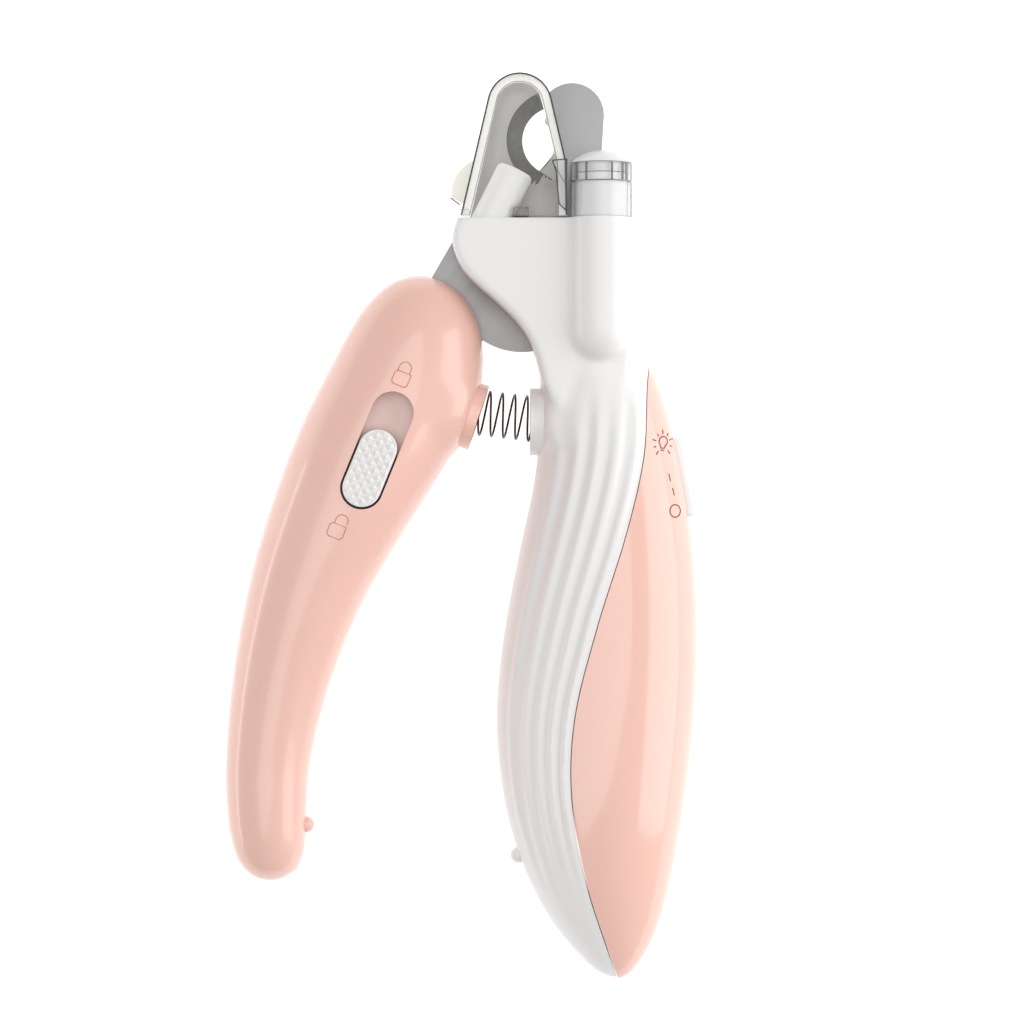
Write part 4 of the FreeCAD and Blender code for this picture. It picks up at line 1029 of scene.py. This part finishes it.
class CLIPPER_OT_switch(bpy.types.Operator):
    """Ribbed thumb piece of the lamp switch"""
    bl_idname = "clipper.switch"
    bl_label = "Lamp Switch"

    def execute(self, context):
        body = block((-3.3, -6.6, -2.3), (0.7, 6.6, 2.3))
        rounded(body, body.edges, 0.3, 3)
        ribs = []
        for n in range(7):
            rib = block((0.5, -4.9 + n * 1.5, -1.9), (1.1, -4.1 + n * 1.5, 1.9))
            rounded(rib, rib.edges, 0.18)
            ribs.append(rib)
        show("switch_thumb_piece", with_place(joined(body, *ribs), switch_frame()), "knob_plastic", "switch",
             ["switch_knob"])
        return {"FINISHED"}


# ---------------------------------------------------------------- marks

def surface_height(rows, x, y):
    """Height of a handle's front over a spot."""
    left, right, depth = between(rows, y)
    part = (x - (left + right) / 2) / ((right - left) / 2)
    return MID + depth * math.sqrt(max(0.0, 1 - part * part))


def drawn_lines(lines, rows, centre, turn, weight=1.0):
    """Thin round lines laid on a handle's surface, from lists of local (x, y) points."""
    data = bpy.data.curves.new("lines", "CURVE")
    data.dimensions = "3D"
    data.bevel_depth = sizes().mark_line * weight
    data.bevel_resolution = 2
    data.use_fill_caps = True
    spin = Matrix.Rotation(math.radians(turn), 2)
    for line in lines:
        spline = data.splines.new("POLY")
        spline.points.add(len(line) - 1)
        for point, spot in zip(spline.points, line):
            x, y = spin @ Vector(spot) + Vector(centre)
            point.co = (*mm(x, y, surface_height(rows, x, y) - 0.02), 1)
    thing = bpy.data.objects.new("lines", data)
    bpy.context.scene.collection.objects.link(thing)
    bpy.context.view_layer.update()
    mesh = bpy.data.meshes.new_from_object(thing.evaluated_get(bpy.context.evaluated_depsgraph_get()))
    bpy.data.objects.remove(thing)
    bpy.data.curves.remove(data)
    bm = bmesh.new()
    bm.from_mesh(mesh)
    bpy.data.meshes.remove(mesh)
    bmesh.ops.remove_doubles(bm, verts=bm.verts, dist=1e-7)
    bmesh.ops.recalc_face_normals(bm, faces=bm.faces)
    return bm


def arc(x, y, radius, start, end, steps=16, tall=1.0):
    """Points of an arc, in degrees anticlockwise from the right."""
    angles = [math.radians(start + (end - start) * n / steps) for n in range(steps + 1)]
    return [(x + radius * math.cos(a), y + radius * tall * math.sin(a)) for a in angles]


def padlock(is_open):
    """Outline of a padlock, closed or with its shackle swung free."""
    half, low, high, soft = 1.35, -2.0, 0.3, 0.6
    case = (arc(half - soft, low + soft, soft, 270, 360, 6) + arc(half - 0.2, high - 0.2, 0.2, 0, 90, 4)
            + arc(-half + soft, high - soft, soft, 90, 180, 6) + arc(-half + soft, low + soft, soft, 180, 270, 6))
    case.append(case[0])
    shift = 0.25 if is_open else 0.0
    bow = arc(shift, high + 0.75, 1.0, 0, 180, 20)
    right_leg = [(shift + 1.0, high + (0.45 if is_open else 0.0)), bow[0]]
    left_leg = [bow[-1], (shift - 1.0, high)]
    return [case, right_leg[:1] + bow + left_leg[1:]]


class CLIPPER_OT_marks(bpy.types.Operator):
    """Padlock marks on the lever and lamp marks on the cover"""
    bl_idname = "clipper.marks"
    bl_label = "Marks"

    def execute(self, context):
        shut = drawn_lines(padlock(False), LEVER_ROWS, (-9.5, 25.3), -22.3)
        free = drawn_lines(padlock(True), LEVER_ROWS, (-20.1, 0.4), -22.3)
        show("lock_marks", joined(shut, free), "lock_mark", "lever")
        rays = []
        for n in range(9):
            angle = math.radians(-40 + 35 * n)
            inner, outer = 1.25, (1.6 if n % 2 else 1.85)
            rays.append([(inner * math.cos(angle), inner * 1.25 * math.sin(angle)),
                         (outer * math.cos(angle), outer * 1.25 * math.sin(angle))])
        bulb = arc(0.0, 0.35, 0.7, -50, 230, 18, 1.2) + [(-0.28, -0.75), (0.28, -0.75)]
        bulb.append(bulb[0])
        base = [(-0.25, -1.1), (0.25, -1.1)]
        sun = drawn_lines(rays + [bulb, base], GRIP_ROWS, (33.2, 14.0), -8.0, 1.5)
        ring = drawn_lines([arc(0, 0, 0.9, 0, 360, 28, 1.15)], GRIP_ROWS, (35.2, 2.9), 0.0, 1.5)
        dash = drawn_lines([[(-0.2, 1.9), (-0.1, 0.6)], [(0.1, -0.5), (0.22, -1.8)]], GRIP_ROWS, (34.6, 7.2), 8.0, 1.5)
        show("lamp_marks", joined(sun, ring, dash), "lamp_mark", "grip")
        return {"FINISHED"}


# ---------------------------------------------------------------- inner parts

INNER = {
    "cell_cradle": "inner_plastic", "contact_plate": "contact_metal", "contact_spring": "contact_metal",
    "button_cell_1": "cell_steel", "button_cell_2": "cell_steel", "button_cell_3": "cell_steel",
    "circuit_board": "board", "switch_body": "dark_plastic", "blade_rivets": "screw_steel",
    "tang_screws": "screw_steel", "detent_leaf": "spring_steel",
}
SCREWS = {"grip_screws": ("grip", GRIP_SCREWS, 6.0), "lever_screws": ("lever", LEVER_SCREWS, 6.0),
          "door_screw": ("grip", [(28.6, -42.5)], 1.1)}


def cross_recess(x, y, bottom, depth):
    """Two crossed slots cut up into a screw head from behind."""
    return [block((x - long, y - wide, bottom - 1), (x + long, y + wide, bottom + depth))
            for long, wide in ((1.1, 0.22), (0.22, 1.1))]


class CLIPPER_OT_inner(bpy.types.Operator):
    """Screws with cross recesses, and finishes for the parts inside"""
    bl_idname = "clipper.inner"
    bl_label = "Screws and Inner Parts"

    def execute(self, context):
        for node, finish_name in INNER.items():
            coat_node(node, finish_name)
        for node, (body, spots, seat) in SCREWS.items():
            thick = 0.8 if node == "door_screw" else 1.4
            long = 6.0 if node == "door_screw" else 9.0
            made = []
            for x, y in spots:
                head = turned(rounded_profile(1.9, seat - thick, seat, 0.25), mm(x, y, 0), Vector((0, 0, 1)), 48)
                for slot in cross_recess(x, y, seat - thick, thick * 0.55):
                    head = carve(head, slot)
                shank = cylinder(1.1, mm(x, y, seat - 0.01), mm(x, y, seat + long), 32)
                made += [head, shank]
            show(node + "_cross", joined(*made), "screw_steel", body, [node])
        return {"FINISHED"}


# ---------------------------------------------------------------- stage

def area_light(name, spot, target, size, power):
    """A rectangular softbox that faces a point."""
    data = bpy.data.lights.new(name, "AREA")
    data.shape = "RECTANGLE"
    data.size, data.size_y = size
    data.energy = power
    light = bpy.data.objects.new(name, data)
    light.location = spot
    light.rotation_euler = (Vector(target) - Vector(spot)).to_track_quat("-Z", "Y").to_euler()
    bpy.context.scene.collection.objects.link(light)


class CLIPPER_OT_stage(bpy.types.Operator):
    """Pale floor, soft studio light and the camera straight above"""
    bl_idname = "clipper.stage"
    bl_label = "Stage"

    def execute(self, context):
        scene = context.scene
        stage = scene.clipper_stage
        bm = bmesh.new()
        bmesh.ops.create_grid(bm, x_segments=8, y_segments=8, size=2.0, matrix=Matrix.Translation((0, 0, -0.0003)))
        mesh = bpy.data.meshes.new("floor")
        bm.to_mesh(mesh)
        bm.free()
        mesh.materials.append(material("floor"))
        floor = bpy.data.objects.new("floor", mesh)
        scene.collection.objects.link(floor)
        world = bpy.data.worlds.new("sky")
        world.use_nodes = True
        world.node_tree.nodes["Background"].inputs["Color"].default_value = (1, 1, 1, 1)
        world.node_tree.nodes["Background"].inputs["Strength"].default_value = stage.sky
        scene.world = world
        area_light("top_light", (-0.05, 0.1, 0.95), (0, 0, 0), (0.9, 0.9), stage.top_power)
        area_light("key_light", (0.55, 0.05, 0.25), (0.02, 0, 0.01), (0.6, 0.46), stage.key_power)
        area_light("strip_light", (-0.45, -0.03, 0.03), (-0.03, -0.03, 0.01), (0.4, 0.05), stage.strip_power)
        data = bpy.data.cameras.new("camera")
        data.lens = stage.focal_length
        data.sensor_width = 36.0
        data.clip_start = 0.01
        camera = bpy.data.objects.new("camera", data)
        camera.location = (0.00833, 0.00273, stage.camera_height)
        scene.collection.objects.link(camera)
        scene.camera = camera
        scene.view_settings.view_transform = "Standard"
        return {"FINISHED"}


# ---------------------------------------------------------------- panel and registration

STEPS = [
    CLIPPER_OT_stage, CLIPPER_OT_grip, CLIPPER_OT_cover, CLIPPER_OT_lever, CLIPPER_OT_lock, CLIPPER_OT_blades,
    CLIPPER_OT_spring, CLIPPER_OT_lamp, CLIPPER_OT_spot, CLIPPER_OT_catcher, CLIPPER_OT_switch, CLIPPER_OT_marks,
    CLIPPER_OT_inner,
]
GROUPS_OF_SETTINGS = {"clipper_sizes": ClipperSizes, "clipper_colours": ClipperColours, "clipper_stage": ClipperStage}


class CLIPPER_PT_panel(bpy.types.Panel):
    """Settings and steps of the clipper"""
    bl_idname = "CLIPPER_PT_panel"
    bl_label = "Nail Clipper"
    bl_space_type = "VIEW_3D"
    bl_region_type = "UI"
    bl_category = "Clipper"

    def draw(self, context):
        for name, group in GROUPS_OF_SETTINGS.items():
            column = self.layout.column(align=True)
            for setting in group.__annotations__:
                column.prop(getattr(context.scene, name), setting)
        for step in STEPS:
            self.layout.operator(step.bl_idname)


def register():
    for group in GROUPS_OF_SETTINGS.values():
        bpy.utils.register_class(group)
    for name, group in GROUPS_OF_SETTINGS.items():
        setattr(bpy.types.Scene, name, bpy.props.PointerProperty(type=group))
    for step in (*STEPS, CLIPPER_PT_panel):
        bpy.utils.register_class(step)


def unregister():
    for step in (*STEPS, CLIPPER_PT_panel):
        bpy.utils.unregister_class(step)
    for name in GROUPS_OF_SETTINGS:
        delattr(bpy.types.Scene, name)
    for group in GROUPS_OF_SETTINGS.values():
        bpy.utils.unregister_class(group)


def main():
    register()
    for step in STEPS:
        area, name = step.bl_idname.split(".")
        getattr(getattr(bpy.ops, area), name)()


if __name__ == "__main__":
    main()
